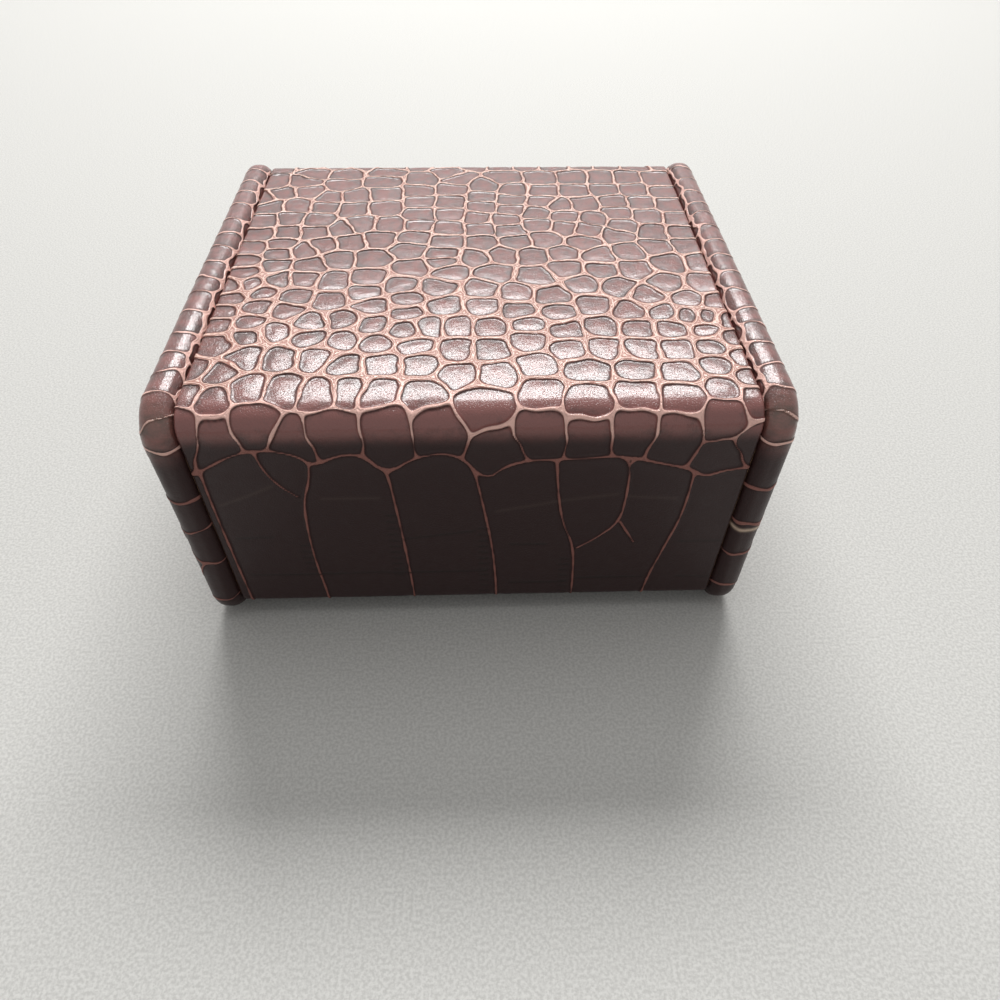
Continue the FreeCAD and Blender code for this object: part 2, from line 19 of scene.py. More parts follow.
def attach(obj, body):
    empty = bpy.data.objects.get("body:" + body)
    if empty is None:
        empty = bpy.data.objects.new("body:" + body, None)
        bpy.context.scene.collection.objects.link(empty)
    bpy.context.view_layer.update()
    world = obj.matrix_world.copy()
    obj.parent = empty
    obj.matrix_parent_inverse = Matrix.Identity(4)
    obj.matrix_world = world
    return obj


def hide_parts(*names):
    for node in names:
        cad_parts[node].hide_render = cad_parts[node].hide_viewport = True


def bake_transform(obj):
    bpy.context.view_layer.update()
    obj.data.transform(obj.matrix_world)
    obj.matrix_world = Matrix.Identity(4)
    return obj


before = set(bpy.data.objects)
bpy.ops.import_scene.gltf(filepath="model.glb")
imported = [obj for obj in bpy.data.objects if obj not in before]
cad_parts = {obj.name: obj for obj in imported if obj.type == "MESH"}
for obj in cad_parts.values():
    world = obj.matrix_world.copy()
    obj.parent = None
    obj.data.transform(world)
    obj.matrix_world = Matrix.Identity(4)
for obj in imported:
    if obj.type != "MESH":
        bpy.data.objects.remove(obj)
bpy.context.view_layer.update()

MM = 0.001
# Further than any crease that matters, in millimetres.
FAR = 60.0
# What the print's relief leaves at each corner of a leather, for the dye and for the painted light
# and shade.
MARKS = ("edge", "half", "lee", "crack", "tone", "scuff", "deep")
# How many neighbours a scale lines up with, and how wide a scale is as a rule.
NEIGHBOURS, USUAL_SCALE = 6, 9.0
# Lengths of the waves that the creases run in, and of those that widen and narrow them.
WANDER_WAVES = (6.0, 7.3, 8.9, 10.8, 13.1)
SWELL_WAVES = (5.3, 8.7, 14.0, 23.0)
# The least slope from one scale to the next, which keeps far creases from spreading.
LEAST_SLOPE = 0.35
log = logging.getLogger("cufflink_box")

Place = Callable[[np.ndarray], np.ndarray]
Tree = bpy.types.NodeTree
Socket = bpy.types.NodeSocket
Point = tuple[float, float]


class Body(Enum):
    """Bodies of the frame that pieces ride on."""

    CARCASS = "carcass"
    LID = "lid"
    DRAWER = "drawer"


class Slot(Enum):
    """Material slots of the record."""

    CROC = "crocodile_print_leather"
    STRAP = "strap_leather"
    FIBREBOARD = "fibreboard"
    CARD = "suede_covered_board"
    SUEDE = "suede"
    FELT = "felt"
    NICKEL = "nickel_plated_steel"
    BEECH = "beech"


# ---------------------------------------------------------------- number helpers


def smooth_step(x: np.ndarray) -> np.ndarray:
    """Ease from 0 to 1 as x goes from 0 to 1."""
    x = np.clip(x, 0.0, 1.0)
    return x * x * (3.0 - 2.0 * x)


def ease(x: np.ndarray, start: float | np.ndarray, length: float | np.ndarray) -> np.ndarray:
    """Ease from 0 to 1 over a length that begins at start."""
    return smooth_step((x - start) / length)


def spread(low: float, high: float, pitch: float) -> np.ndarray:
    """Even positions from low to high, no further apart than about pitch."""
    return np.linspace(low, high, max(2, int(math.ceil((high - low) / pitch)) + 1))


def srgb(code: str) -> tuple[float, float, float, float]:
    """Turn an sRGB hex colour into linear RGBA.

    Args:
        code: colour such as "#aabbcc".

    Returns:
        Linear red, green, blue and an alpha of 1.
    """
    parts = [int(code[i : i + 2], 16) / 255 for i in (1, 3, 5)]
    line = [c / 12.92 if c <= 0.04045 else ((c + 0.055) / 1.055) ** 2.4 for c in parts]
    return (line[0], line[1], line[2], 1.0)


# ---------------------------------------------------------------- mesh helpers


@dataclass
class Shell:
    """A mesh in the making.

    points are corners in millimetres of the row frame, faces are arrays of corner numbers, one
    array per number of sides, and marks are values kept at each corner.
    """

    points: np.ndarray
    faces: list[np.ndarray]
    marks: dict[str, np.ndarray] = field(default_factory=dict)

    def flipped(self) -> "Shell":
        """The same shell with its faces turned over."""
        return Shell(self.points, [f[:, ::-1] for f in self.faces], self.marks)


def join(shells: Sequence[Shell]) -> Shell:
    """Put several shells into one, side by side.

    Args:
        shells: the shells, which share no corners.

    Returns:
        One shell with the marks that every one of them has.
    """
    faces, offset = [], 0
    for shell in shells:
        faces += [f + offset for f in shell.faces]
        offset += len(shell.points)
    shared = set.intersection(*(set(s.marks) for s in shells))
    marks = {k: np.concatenate([s.marks[k] for s in shells]) for k in sorted(shared)}
    return Shell(np.concatenate([s.points for s in shells]), faces, marks)


def grid_faces(rows: int, columns: int) -> np.ndarray:
    """Corner numbers of the quads of a grid stored row by row."""
    first = (np.arange(rows - 1)[:, None] * columns + np.arange(columns - 1)).ravel()
    return np.stack([first, first + 1, first + columns + 1, first + columns], 1)


def tube(rings: np.ndarray, capped: bool = False) -> Shell:
    """Lay a skin over closed rings of corners.

    Args:
        rings: for each ring in turn, its corners in order.
        capped: whether the first and the last ring are closed with a face.

    Returns:
        The skin.
    """
    count, size = rings.shape[:2]
    first = np.arange((count - 1) * size)
    after = first - first % size + (first + 1) % size
    faces = [np.stack([first, after, after + size, first + size], 1)]
    if capped:
        corners = np.arange(size)
        faces.append(np.stack([corners, (count - 1) * size + corners[::-1]]))
    return Shell(rings.reshape(-1, 3), faces)


def make_object(name: str, shell: Shell) -> bpy.types.Object:
    """Turn a shell into a smooth-shaded mesh object, in metres.

    Args:
        name: name of the piece.
        shell: its corners, faces and marks.

    Returns:
        The new object, linked to the scene.
    """
    mesh = bpy.data.meshes.new(name)
    mesh.vertices.add(len(shell.points))
    mesh.vertices.foreach_set("co", (shell.points * MM).astype(np.float32).ravel())
    sides = np.concatenate([np.full(len(f), f.shape[1]) for f in shell.faces])
    corners = np.concatenate([f.ravel() for f in shell.faces])
    mesh.loops.add(len(corners))
    mesh.loops.foreach_set("vertex_index", corners.astype(np.int32))
    mesh.polygons.add(len(sides))
    starts = np.concatenate([[0], np.cumsum(sides)[:-1]])
    mesh.polygons.foreach_set("loop_start", starts.astype(np.int32))
    mesh.update(calc_edges=True)
    mesh.validate()
    for key, values in shell.marks.items():
        flat = values.ndim == 1
        made = mesh.attributes.new(key, "FLOAT" if flat else "FLOAT_VECTOR", "POINT")
        made.data.foreach_set("value" if flat else "vector", values.astype(np.float32).ravel())
    mesh.shade_smooth()
    made = bpy.data.objects.new(name, mesh)
    bpy.context.scene.collection.objects.link(made)
    return made


@dataclass(frozen=True)
class Run:
    """One stretch of a section: its length, and the radius it turns on, 0 where it is straight."""

    length: float
    radius: float = 0.0


def quarter(radius: float) -> Run:
    """A quarter turn; a negative radius turns the other way."""
    return Run(abs(radius) * math.pi / 2, radius)


class Section:
    """A line of straight runs and arcs that is followed by its length."""

    def __init__(
        self, runs: Sequence[Run], start: Point = (0, 0), heading: float = 0.0
    ) -> None:
        """Lay the runs end to end.

        Args:
            runs: stretches in order.
            start: where the line starts.
            heading: angle it sets off at, in radians.
        """
        self.runs = runs
        self.ends = np.concatenate([[0.0], np.cumsum([r.length for r in runs])])
        self.origins, self.angles = [np.array(start, float)], [heading]
        for run in runs:
            step, turn = self.step(run, np.array([run.length]), self.angles[-1])
            self.origins.append(self.origins[-1] + step[0])
            self.angles.append(float(turn[0]))

    @property
    def length(self) -> float:
        """Whole length of the line."""
        return float(self.ends[-1])

    @staticmethod
    def step(run: Run, along: np.ndarray, heading: float) -> tuple[np.ndarray, np.ndarray]:
        """Follow one run.

        Args:
            run: the run.
            along: distances from its start.
            heading: angle it sets off at.

        Returns:
            The offset from its start, and the heading, at each distance.
        """
        if run.radius == 0:
            way = np.array([math.cos(heading), math.sin(heading)])
            return along[:, None] * way, np.full(len(along), heading)
        turn = heading + along / run.radius
        x = (np.sin(turn) - math.sin(heading)) * run.radius
        y = -(np.cos(turn) - math.cos(heading)) * run.radius
        return np.stack([x, y], 1), turn

    def at(self, distance: np.ndarray) -> tuple[np.ndarray, np.ndarray]:
        """Follow the line.

        Args:
            distance: lengths from its start.

        Returns:
            Points on the line, and the heading at each.
        """
        where = np.clip(np.searchsorted(self.ends, distance, "right") - 1, 0, len(self.runs) - 1)
        points, turns = np.zeros((len(distance), 2)), np.zeros(len(distance))
        for number, run in enumerate(self.runs):
            mine = where == number
            step, turn = self.step(run, distance[mine] - self.ends[number], self.angles[number])
            points[mine], turns[mine] = self.origins[number] + step, turn
        return points, turns

    def stations(self, pitch: float, arc_pitch: float = 0.0) -> np.ndarray:
        """Distances along the line that keep every joint between its runs.

        Args:
            pitch: the most that two of them are apart.
            arc_pitch: the same on an arc, or 0 where arcs are no finer.

        Returns:
            The distances in order.
        """
        parts = []
        for number, run in enumerate(self.runs):
            fine = min(pitch, arc_pitch) if run.radius and arc_pitch else pitch
            parts.append(spread(self.ends[number], self.ends[number + 1], fine)[:-1])
        return np.concatenate([*parts, [self.ends[-1]]])


# ---------------------------------------------------------------- crocodile print


def rounded_off(points: Sequence[Point]) -> np.ndarray:
    """Cut a line's corners off twice, so that it runs in smooth bends.

    Args:
        points: its corners.

    Returns:
        The corners of the smoother line, with the same two ends.
    """
    line = np.array(points, float)
    for _ in range(2):
        ends = np.stack([0.75 * line[:-1] + 0.25 * line[1:], 0.25 * line[:-1] + 0.75 * line[1:]], 1)
        line = np.concatenate([line[:1], ends.reshape(-1, 2), line[-1:]])
    return line


def on_hide(sheet: np.ndarray) -> dict[str, np.ndarray]:
    """Mark that holds each corner's place on the flat hide or cloth, in metres."""
    return {"sheet": np.column_stack([sheet * MM, np.zeros(len(sheet))])}


@dataclass
class Relief:
    """What a crocodile print does at points of the sheet: its height, and marks for the dye.

    edge is the distance to the middle of the nearest crease and half is that crease's half
    width, both in millimetres. The shadow-side mark is 1 where a crease stands between the scale
    and the light, so that a shadow is painted at its foot, and the shade mark is 1 where the dark
    copy of the dye is painted as shade; a small share of it picks the lighter copy that is painted
    as light where the lid turns down.
    """

    height: np.ndarray
    edge: np.ndarray
    half: np.ndarray
    lee: np.ndarray
    crack: np.ndarray
    tone: np.ndarray
    scuff: np.ndarray
    deep: np.ndarray

    def marks(self, sheet: np.ndarray) -> dict[str, np.ndarray]:
        """Corner marks for the dye and the painted light and shade, and, as sheet, each corner's
        place on the hide.
        """
        return {key: getattr(self, key) for key in MARKS} | on_hide(sheet)


@dataclass
class ScaleMap:
    """The scales of a crocodile print on a flat hide, solved once on a fine raster.

    Every scale grows from a centre. A point belongs to the nearest centre, measured with a norm
    that makes the scales squarish and in line with their neighbours, and the crease runs where
    two centres are equally near. low and high are the hide's corners, reach is how far a centre
    is looked for, rise the height of a crease, crown how much a scale domes over its dome_width,
    tilt the most that one leans, and bend the height of each wave that the creases run in.
    """

    centres: np.ndarray
    low: Point
    high: Point
    seed: int = 1
    reach: float = 20.0
    step: float = 0.3
    squareness: float = 3.0
    crease_half: float = 0.5
    rise: float = 0.3
    flank: float = 0.28
    crown: float = 0.04
    dome_width: float = 3.5
    tilt: float = 0.02
    most_lie: float = 0.2
    # Share of the dark copy of the dye, painted as shade, over the whole hide.
    deep: float = 0.0
    bend: float = 0.16
    unevenness: float = 0.12
    line_reach: float = 8.0
    faint_rise: float = 0.04
    crack_depth: float = 0.1

    def __post_init__(self) -> None:
        """Solve the raster."""
        self.s = np.arange(self.low[0], self.high[0] + self.step, self.step)
        self.t = np.arange(self.low[1], self.high[1] + self.step, self.step)
        self.layers: dict[str, np.ndarray] = {}
        self.grow()
        self.add_details()
        self.lean()

    def corner_softness(self) -> np.ndarray | float:
        """How far the corners of a scale are rounded off."""
        return 0.5

    def crease_widths(self) -> tuple[np.ndarray | float, np.ndarray | float]:
        """Half widths of the creases that run along t and of those that run along s."""
        return self.crease_half, self.crease_half * 1.25

    def squareness_of(self) -> np.ndarray:
        """Power of the norm that each scale is measured with."""
        return np.full(len(self.centres), self.squareness)

    def add_details(self) -> None:
        """Extra lines on the hide; the plain print has none."""

    def grain_angles(self) -> np.ndarray:
        """Find the angle that each scale's four sides line up with.

        Returns:
            One angle for each centre, from the way that its six nearest neighbours lie.
        """
        angles = np.zeros(len(self.centres))
        for number, centre in enumerate(self.centres):
            away = self.centres - centre
            far = np.hypot(*away.T)
            near = np.argsort(far)[1 : NEIGHBOURS + 1]
            weight = np.exp(-((far[near] / USUAL_SCALE) ** 2))
            four = np.exp(4j * np.arctan2(away[near, 1], away[near, 0]))
            angles[number] = np.angle((weight * four).sum()) / 4
        return angles

    def waves(self, dice: np.random.Generator, lengths: Sequence[float]) -> np.ndarray:
        """Add up waves that cross the raster in directions drawn by lot.

        Args:
            dice: source of the random draws.
            lengths: length of each wave.

        Returns:
            The sum at each raster point; each wave goes from -1 to 1.
        """
        across, down = np.meshgrid(self.s, self.t)
        total = np.zeros(across.shape)
        for length in lengths:
            turn, phase = dice.uniform(0, 2 * math.pi, 2)
            way = across * math.cos(turn) + down * math.sin(turn)
            total += np.sin(2 * math.pi * way / length + phase)
        return total

    def wander(self) -> list[np.ndarray]:
        """The raster points' s and t, shifted here and there so that the creases run in bends."""
        dice, grid = np.random.default_rng(self.seed + 100), np.meshgrid(self.s, self.t)
        return [line + self.bend * self.waves(dice, WANDER_WAVES) for line in grid]

    def grow(self) -> None:
        """Find the distance to the nearest crease everywhere, and which scale is where."""
        shape = (len(self.t), len(self.s))
        across, down = self.wander()
        near, slope = np.full((3, *shape), FAR), np.zeros((3, *shape, 2))
        owner = np.zeros(shape, int)
        square = self.squareness_of()
        for number, (centre, angle) in enumerate(zip(self.centres, self.grain_angles())):
            cols = slice(*np.searchsorted(self.s, (centre[0] - self.reach, centre[0] + self.reach)))
            rows = slice(*np.searchsorted(self.t, (centre[1] - self.reach, centre[1] + self.reach)))
            if cols.start == cols.stop or rows.start == rows.stop:
                continue
            ds, dt = across[rows, cols] - centre[0], down[rows, cols] - centre[1]
            away, pull = self.norm(ds, dt, angle, square[number])
            block, grad = near[:, rows, cols], slope[:, rows, cols]
            first = away < block[0]
            second = ~first & (away < block[1])
            third = ~first & ~second & (away < block[2])
            owner[rows, cols][first] = number
            for k, (moves, lands) in ((2, (first | second, third)), (1, (first, second))):
                block[k] = np.where(moves, block[k - 1], np.where(lands, away, block[k]))
                pick, put = moves[..., None], lands[..., None]
                grad[k] = np.where(pick, grad[k - 1], np.where(put, pull, grad[k]))
            block[0] = np.where(first, away, block[0])
            grad[0] = np.where(first[..., None], pull, grad[0])
        gaps = []
        for k in (1, 2):
            steep = np.maximum(np.hypot(*(slope[k] - slope[0]).T).T, LEAST_SLOPE)
            gaps.append(np.clip((near[k] - near[0]) / steep, 0, 20))
        soft = self.corner_softness()
        self.layers["edge"] = -soft * np.log(np.exp(-gaps[0] / soft) + np.exp(-gaps[1] / soft))
        dice = np.random.default_rng(self.seed)
        tones = dice.uniform(-1.0, 1.0, len(self.centres))
        self.layers["tone"] = tones[owner]
        lie = dice.uniform(-self.tilt, self.tilt, (len(self.centres), 2))[owner]
        away_s = self.s[None, :] - self.centres[owner, 0]
        away_t = self.t[:, None] - self.centres[owner, 1]
        self.layers["lie"] = lie[..., 0] * away_s + lie[..., 1] * away_t
        for key in ("faint", "crack", "scuff"):
            self.layers[key] = np.zeros(shape)
        self.layers["deep"] = np.full(shape, self.deep)

    @staticmethod
    def norm(
        ds: np.ndarray, dt: np.ndarray, angle: float, p: float
    ) -> tuple[np.ndarray, np.ndarray]:
        """Squarish distance from a centre over a block of the raster.

        Args:
            ds: offsets along s.
            dt: offsets along t.
            angle: the scale's own angle.
            p: power of the norm; 2 is round and more is squarer.

        Returns:
            The distance at each raster point and its gradient.
        """
        c, n = math.cos(angle), math.sin(angle)
        u, v = ds * c + dt * n, dt * c - ds * n
        au, av = np.abs(u) + 1e-6, np.abs(v) + 1e-6
        away = (au**p + av**p) ** (1 / p)
        gu, gv = (au / away) ** (p - 1) * np.sign(u), (av / away) ** (p - 1) * np.sign(v)
        return away, np.stack([gu * c - gv * n, gu * n + gv * c], -1)

    def lean(self) -> None:
        """Keep how much each crease runs along s rather than along t, and the side where a shadow
        is painted.
        """
        dt, ds = np.gradient(self.layers["edge"], self.step)
        # Painted shadow: the side of each crease that stands between the scale and the light, which
        # lies a little to one side.
        self.layers["lee"] = np.clip((0.9 * dt + 0.45 * ds) / (np.hypot(dt, ds) + 1e-6), 0, 1)
        self.layers["lean"] = np.clip(dt**2 / (dt**2 + ds**2 + 1e-6), 0, 1)
        along, across = self.crease_widths()
        dice = np.random.default_rng(self.seed + 200)
        uneven = 1 + self.unevenness * self.waves(dice, SWELL_WAVES)
        self.layers["half"] = (along + (across - along) * self.layers["lean"]) * uneven

    def line_distance(self, points: Sequence[Point]) -> np.ndarray:
        """Measure how far every raster point is from a line of straight runs.

        Args:
            points: corners of the line.

        Returns:
            The distances, or FAR well beyond line_reach.
        """
        best, far_out = np.full((len(self.t), len(self.s)), FAR), self.line_reach
        for (s0, t0), (s1, t1) in zip(points[:-1], points[1:]):
            s_span = (min(s0, s1) - far_out, max(s0, s1) + far_out)
            t_span = (min(t0, t1) - far_out, max(t0, t1) + far_out)
            cols = slice(*np.searchsorted(self.s, s_span))
            rows = slice(*np.searchsorted(self.t, t_span))
            ds, dt = self.s[None, cols] - s0, self.t[rows, None] - t0
            way = np.array([s1 - s0, t1 - t0])
            share = np.clip((ds * way[0] + dt * way[1]) / (way @ way), 0, 1)
            far = np.hypot(ds - share * way[0], dt - share * way[1])
            best[rows, cols] = np.minimum(best[rows, cols], far)
        return best

    def read(self, key: str, sheet: np.ndarray) -> np.ndarray:
        """Read a layer between raster points, by proportion.

        Args:
            key: name of the layer.
            sheet: s and t of each place on the hide.

        Returns:
            The layer's value at each place.
        """
        u = np.clip((sheet[:, 0] - self.s[0]) / self.step, 0, len(self.s) - 1.001)
        v = np.clip((sheet[:, 1] - self.t[0]) / self.step, 0, len(self.t) - 1.001)
        i, j = u.astype(int), v.astype(int)
        fu, fv, layer = u - i, v - j, self.layers[key]
        low = layer[j, i] * (1 - fu) + layer[j, i + 1] * fu
        high = layer[j + 1, i] * (1 - fu) + layer[j + 1, i + 1] * fu
        return low * (1 - fv) + high * fv

    def relief(self, sheet: np.ndarray) -> Relief:
        """Height and marks at places on the hide.

        Args:
            sheet: s and t of each place.

        Returns:
            The relief there; height is 0 beside a scale's edge and more on the creases.
        """
        edge, half = self.read("edge", sheet), self.read("half", sheet)
        faint, crack = self.read("faint", sheet), self.read("crack", sheet)
        plate = ease(edge, 0.7 * half, 0.3 * half + self.flank)
        dome = self.crown * ease(edge, half, self.dome_width)
        lie = np.clip(self.read("lie", sheet), -self.most_lie, self.most_lie) * plate
        raised = self.rise * (1 - plate)
        marked = self.faint_rise * faint - self.crack_depth * crack
        return Relief(
            height=raised + dome + lie + marked,
            edge=np.minimum(edge, 5.0),
            half=half,
            lee=self.read("lee", sheet),
            crack=crack,
            tone=self.read("tone", sheet),
            scuff=np.maximum(self.read("scuff", sheet), 0.03 * faint),
            deep=self.read("deep", sheet),
        )


# Centres of the scales over the lid and down its back edge, in millimetres of the hide: s runs
# from one cheek to the other, and t from the front of the lid's flat top towards the back.
SCALES = (
    (-68, 8), (-57.5, 7), (-55.5, 1), (-44, 2), (-30.5, 7), (-30, 1), (-16, 6), (-8.5, 0),
    (-4.5, 6), (12, 5), (24.5, 6), (36, 5.5), (46.5, 6), (55, 6), (66, 7.5),
    (-64, 16.5), (-55.5, 16), (-44.5, 9.5), (-17.5, 15.5), (-6.5, 14.5), (5, 11.5), (15, 14.5),
    (24.5, 15.5), (36, 15), (46, 15), (56, 15.5),
    (-70, 19.5), (-47.5, 20), (-39, 19.5), (-29, 18), (-17, 23.5), (-6.5, 23.5), (4, 20),
    (14, 22.5), (24, 23.5), (48.5, 23.5), (67, 17),
    (-66, 26.5), (-57, 25.5), (-48.5, 26.5), (-38.5, 28), (-28.5, 27.5), (-17, 32.5),
    (-6.5, 32.5), (3.5, 27.5), (13.5, 29), (22, 32), (30, 26), (37.5, 25.5), (48.5, 32),
    (57.5, 25), (67, 26.5),
    (-66, 36.5), (-58.5, 35), (-49, 35.5), (-35.5, 38.5), (-26, 39), (-17, 39.5), (2, 34.5),
    (11, 36.5), (22, 39.5), (30.5, 34.5), (40, 36.5), (49, 40.5), (58.5, 34.5), (67.5, 36.5),
    (-65, 45), (-58, 44), (-49, 43.5), (-41.5, 42), (-28.5, 48), (-18, 47), (-7, 41.5), (3, 42),
    (12.5, 43.5), (23.5, 49.5), (30, 42), (37, 43), (46, 47), (58.5, 45), (67, 45),
    (-66.5, 54), (-58.5, 51), (-58.5, 57), (-51, 55), (-45.5, 52), (-37.5, 50.5), (-19.5, 56),
    (-7, 50.5), (3, 51), (14, 51), (35, 51.5), (48.5, 57.5), (57.5, 54.5), (67, 53.5),
    (-67, 61.5), (-58.5, 64), (-47.5, 64), (-40, 60.5), (-29.5, 60.5), (-17.5, 66),
    (-8.5, 58.5), (-8.5, 62.5), (1, 60.5), (9.5, 58.5), (18.5, 59.5), (28, 58.5), (38.5, 59.5),
    (59.5, 64), (69, 64),
    (-66, 67.5), (-63, 74.5), (-56, 72.5), (-49, 72), (-40, 73.5), (-29.5, 71.5), (-6, 68.5),
    (6.5, 69.5), (19, 71.5), (28.5, 67), (38, 68.5), (48.5, 68),
    (-69.5, 75.5), (-67.5, 82), (-59.5, 79), (-49.5, 81), (-30, 79.5), (-20.5, 75.5),
    (-9.5, 77.5), (3, 77.5), (13, 80.5), (22.5, 82), (32.5, 76), (42, 77.5), (50.5, 82.5),
    (56.5, 75.5), (67.5, 76.5),
    (-68, 88.5), (-59.5, 86), (-51, 88.5), (-40, 84), (-28, 86.5), (-18, 83), (-17.5, 90),
    (-7.5, 86.5), (3, 87), (13, 89), (23.5, 90.5), (34.5, 87.5), (44, 90), (53, 91), (61, 84.5),
    (69, 86),
    (-68, 94), (-60.5, 94), (-52, 98), (-43.5, 94), (-35, 93), (-26.5, 95), (-18, 98.5),
    (-11.5, 97), (-4, 96.5), (5, 97), (15, 96.5), (25.5, 99), (35.5, 97.5), (44.5, 98.5),
    (54, 99), (59.5, 92.5), (63.5, 99.5), (65, 93.5), (70, 95),
    (-66, 104), (-59.5, 100.5), (-43, 101.5), (-34, 102.5), (-25, 104), (-14.5, 105),
    (-4.5, 107), (5, 107), (15, 103), (25, 107.5), (35, 107), (44, 107.5), (54, 107.5),
    (63.5, 107), (70, 103.5),
    (-69.5, 114.5), (-63.5, 116), (-58.5, 109), (-49, 109.5), (-40.5, 110), (-32, 113),
    (-23, 113), (-13.5, 113.5), (16.5, 114), (41.5, 116), (63, 115.5), (70, 111.5),
    (-69, 124.5), (-55, 122.5), (-46, 122.5), (-37, 123.5), (-30.5, 123), (-23, 123.5),
    (-12, 124.5), (-3.5, 117.5), (6.5, 118), (17.5, 124.5), (29, 116.5), (52.5, 118.5),
    (62.5, 124.5), (70, 120.5),
    (-63, 126), (3, 127.5), (28.5, 126.5), (40, 125.5), (52, 126), (69.5, 127.5),
    (-70, 134), (-62, 137), (-52, 134), (-45, 138), (-34, 136), (-20, 136), (-9, 136), (6, 141),
    (17, 137), (29, 137), (39, 136), (50, 138), (62, 133), (70, 139),
    (63, 143),
)

# Upper ends of the long belly tiles, where the small scales stop.
TILE_TOPS = (
    (-76, 150), (-68, 146), (-60, 141), (-52, 139), (-44, 141), (-40, 145), (-34, 141.5),
    (-28, 141), (-22, 148), (-14, 142), (-4, 141), (3, 151), (8, 146), (14, 144), (20, 144),
    (30, 143.5), (38, 143), (45, 145), (56, 148), (60, 151), (66, 148), (76, 148),
)

# Creases between the belly tiles, down the back of the box.
TILE_CREASES = (
    ((-68.5, 140), (-69, 160), (-68, 215)),
    ((-54, 139), (-53, 146), (-50, 152), (-46, 156)),
    ((-41, 143), (-42, 150), (-45, 158), (-46, 172), (-46, 185), (-45, 198), (-45, 215)),
    ((-26, 139), (-24, 144), (-22, 147), (-21, 160), (-20, 175), (-19, 198), (-19, 215)),
    ((-17, 141), (-19, 144), (-22, 148)),
    ((-1, 142), (1, 152), (3, 165), (5, 180), (6, 198), (6, 215)),
    ((21, 143), (22, 155), (24, 168), (28, 178), (29, 196), (29, 215)),
    ((37, 142), (40, 146), (40.5, 156), (40, 168), (34, 175), (29, 179)),
    ((42, 141), (40, 146)),
    ((40, 168), (45, 177)),
    ((57, 146), (57, 165), (54, 180), (51, 196), (50, 215)),
)

# Pale shallow lines and fine dark cracks across the tiles.
TILE_LINES = (
    ((-67, 159), (-60, 156), (-52, 152)),
    ((-40, 157), (-25, 157)),
    ((6, 163), (24, 159), (38, 157)),
    ((41, 158), (54, 159)),
)
TILE_CRACKS = (
    ((-66, 172.5), (-56, 172.2)),
    ((-66, 189), (-48, 189.4), (-30, 188.7), (-20, 189.3), (3, 189)),
    ((-20, 174), (0, 171)),
    ((10, 177), (20, 177.3)),
    ((58, 177), (70, 177)),
    ((10, 195), (27, 195.4)),
    ((30, 193.5), (50, 193.2)),
    ((60, 193.5), (70, 193.8)),
)

# Rows of short dark ticks beside the tiles' creases: the row's s, and its t from and to.
TILE_TICKS = ((-45.5, 176, 190), (-20.5, 164, 192), (4.5, 170, 204), (28.0, 184, 206))


@dataclass
class CoverMap(ScaleMap):
    """The lid and back's print: small scales on the lid, long belly tiles down the back.

    The sizes are places along t: the middle of the lid, the start of the turn into the back,
    and the row where the last small scales meet the tiles.
    """

    middle: float = 50.0
    turn: float = 121.0
    meeting: float = 131.0
    soft: float = 0.6
    line_width: float = 0.45
    crack_width: float = 0.35
    tick_pitch: float = 2.6

    def corner_softness(self) -> np.ndarray:
        """Scales are squarer towards the front of the lid and rounder towards its back."""
        wide = ease(self.t, self.middle, 35) - 0.8 * ease(self.t, self.turn, 8)
        return (0.4 + 0.35 * wide)[:, None]

    def squareness_of(self) -> np.ndarray:
        """Scales are squarish at the front of the lid and round from its middle on."""
        return self.squareness - 0.95 * ease(self.centres[:, 1], self.middle - 15, 20)

    def crease_widths(self) -> tuple[np.ndarray, np.ndarray]:
        """Widen the creases towards the back of the lid, and narrow them on the tiles.

        Returns:
            Half widths along t and along s, one for each row of the raster.
        """
        back = ease(self.t, self.middle, 30) * (1 - ease(self.t, self.turn, 8))
        tiles = ease(self.t, self.turn - 1, 12)
        along = 0.48 + 0.2 * back - 0.18 * tiles
        across = 0.44 + 0.16 * back - 0.14 * tiles
        return along[:, None], across[:, None]

    def add_details(self) -> None:
        """Put the belly tiles' creases, lines and cracks below the small scales."""
        layers, t = self.layers, self.t[:, None]
        tops = rounded_off(TILE_TOPS)
        top = np.interp(self.s, tops[:, 0], tops[:, 1])[None, :]
        between = self.nearest(TILE_CREASES)
        scales = np.where(t > top, FAR, layers["edge"])
        tiles = np.where(t > top, between, FAR)
        both = np.exp(-np.minimum(scales, tiles) / self.soft)
        both = both + np.exp(-self.line_distance(tops) / self.soft)
        past = ease(t, self.meeting - 3, 6)
        layers["edge"] = layers["edge"] * (1 - past) - self.soft * np.log(both) * past
        layers["lie"] = layers["lie"] * (1 - ease(t, self.meeting + 3, 6))
        # Painted light: a lighter band of dye along the last rows of small scales, where the lid
        # turns down.
        layers["tone"] = layers["tone"] + 5.0 * np.exp(-(((t - self.meeting - 1) / 5) ** 2))
        # Painted light and shade: a quarter share from where the lid starts to turn down brings in
        # the lighter copies of the dye, and a full share down the back, on the tiles and round the
        # lid's front edge brings in the dark copy.
        turned = np.maximum(0.95 * ease(t, self.meeting, 9), 0.25 * ease(t, self.turn, 7))
        front = 0.92 * ease(-t, 4, 9)
        layers["deep"] = np.maximum(np.maximum(turned, front), ease(t, top - 3, 5))
        ticks = tuple(
            ((s - 3.4, at), (s - 1.0, at + 0.3))
            for s, low, high in TILE_TICKS
            for at in np.arange(low, high, self.tick_pitch)
        )
        for key, lines, width in (
            ("faint", TILE_LINES, self.line_width),
            ("crack", TILE_CRACKS + ticks, self.crack_width),
        ):
            shown = np.exp(-((self.nearest(lines) / width) ** 2))
            layers[key] = np.where(t > self.meeting + 5, shown, 0.0)

    def nearest(self, lines: Sequence[Sequence[Point]]) -> np.ndarray:
        """Distance from every raster point to the nearest of some lines."""
        return np.minimum.reduce([self.line_distance(rounded_off(line)) for line in lines])


@dataclass(frozen=True)
class Row:
    """A row of scale centres: its place across the hide, the scales' width and the row's ends."""

    across: float
    width: float
    low: float
    high: float
    shift: float = 0.0


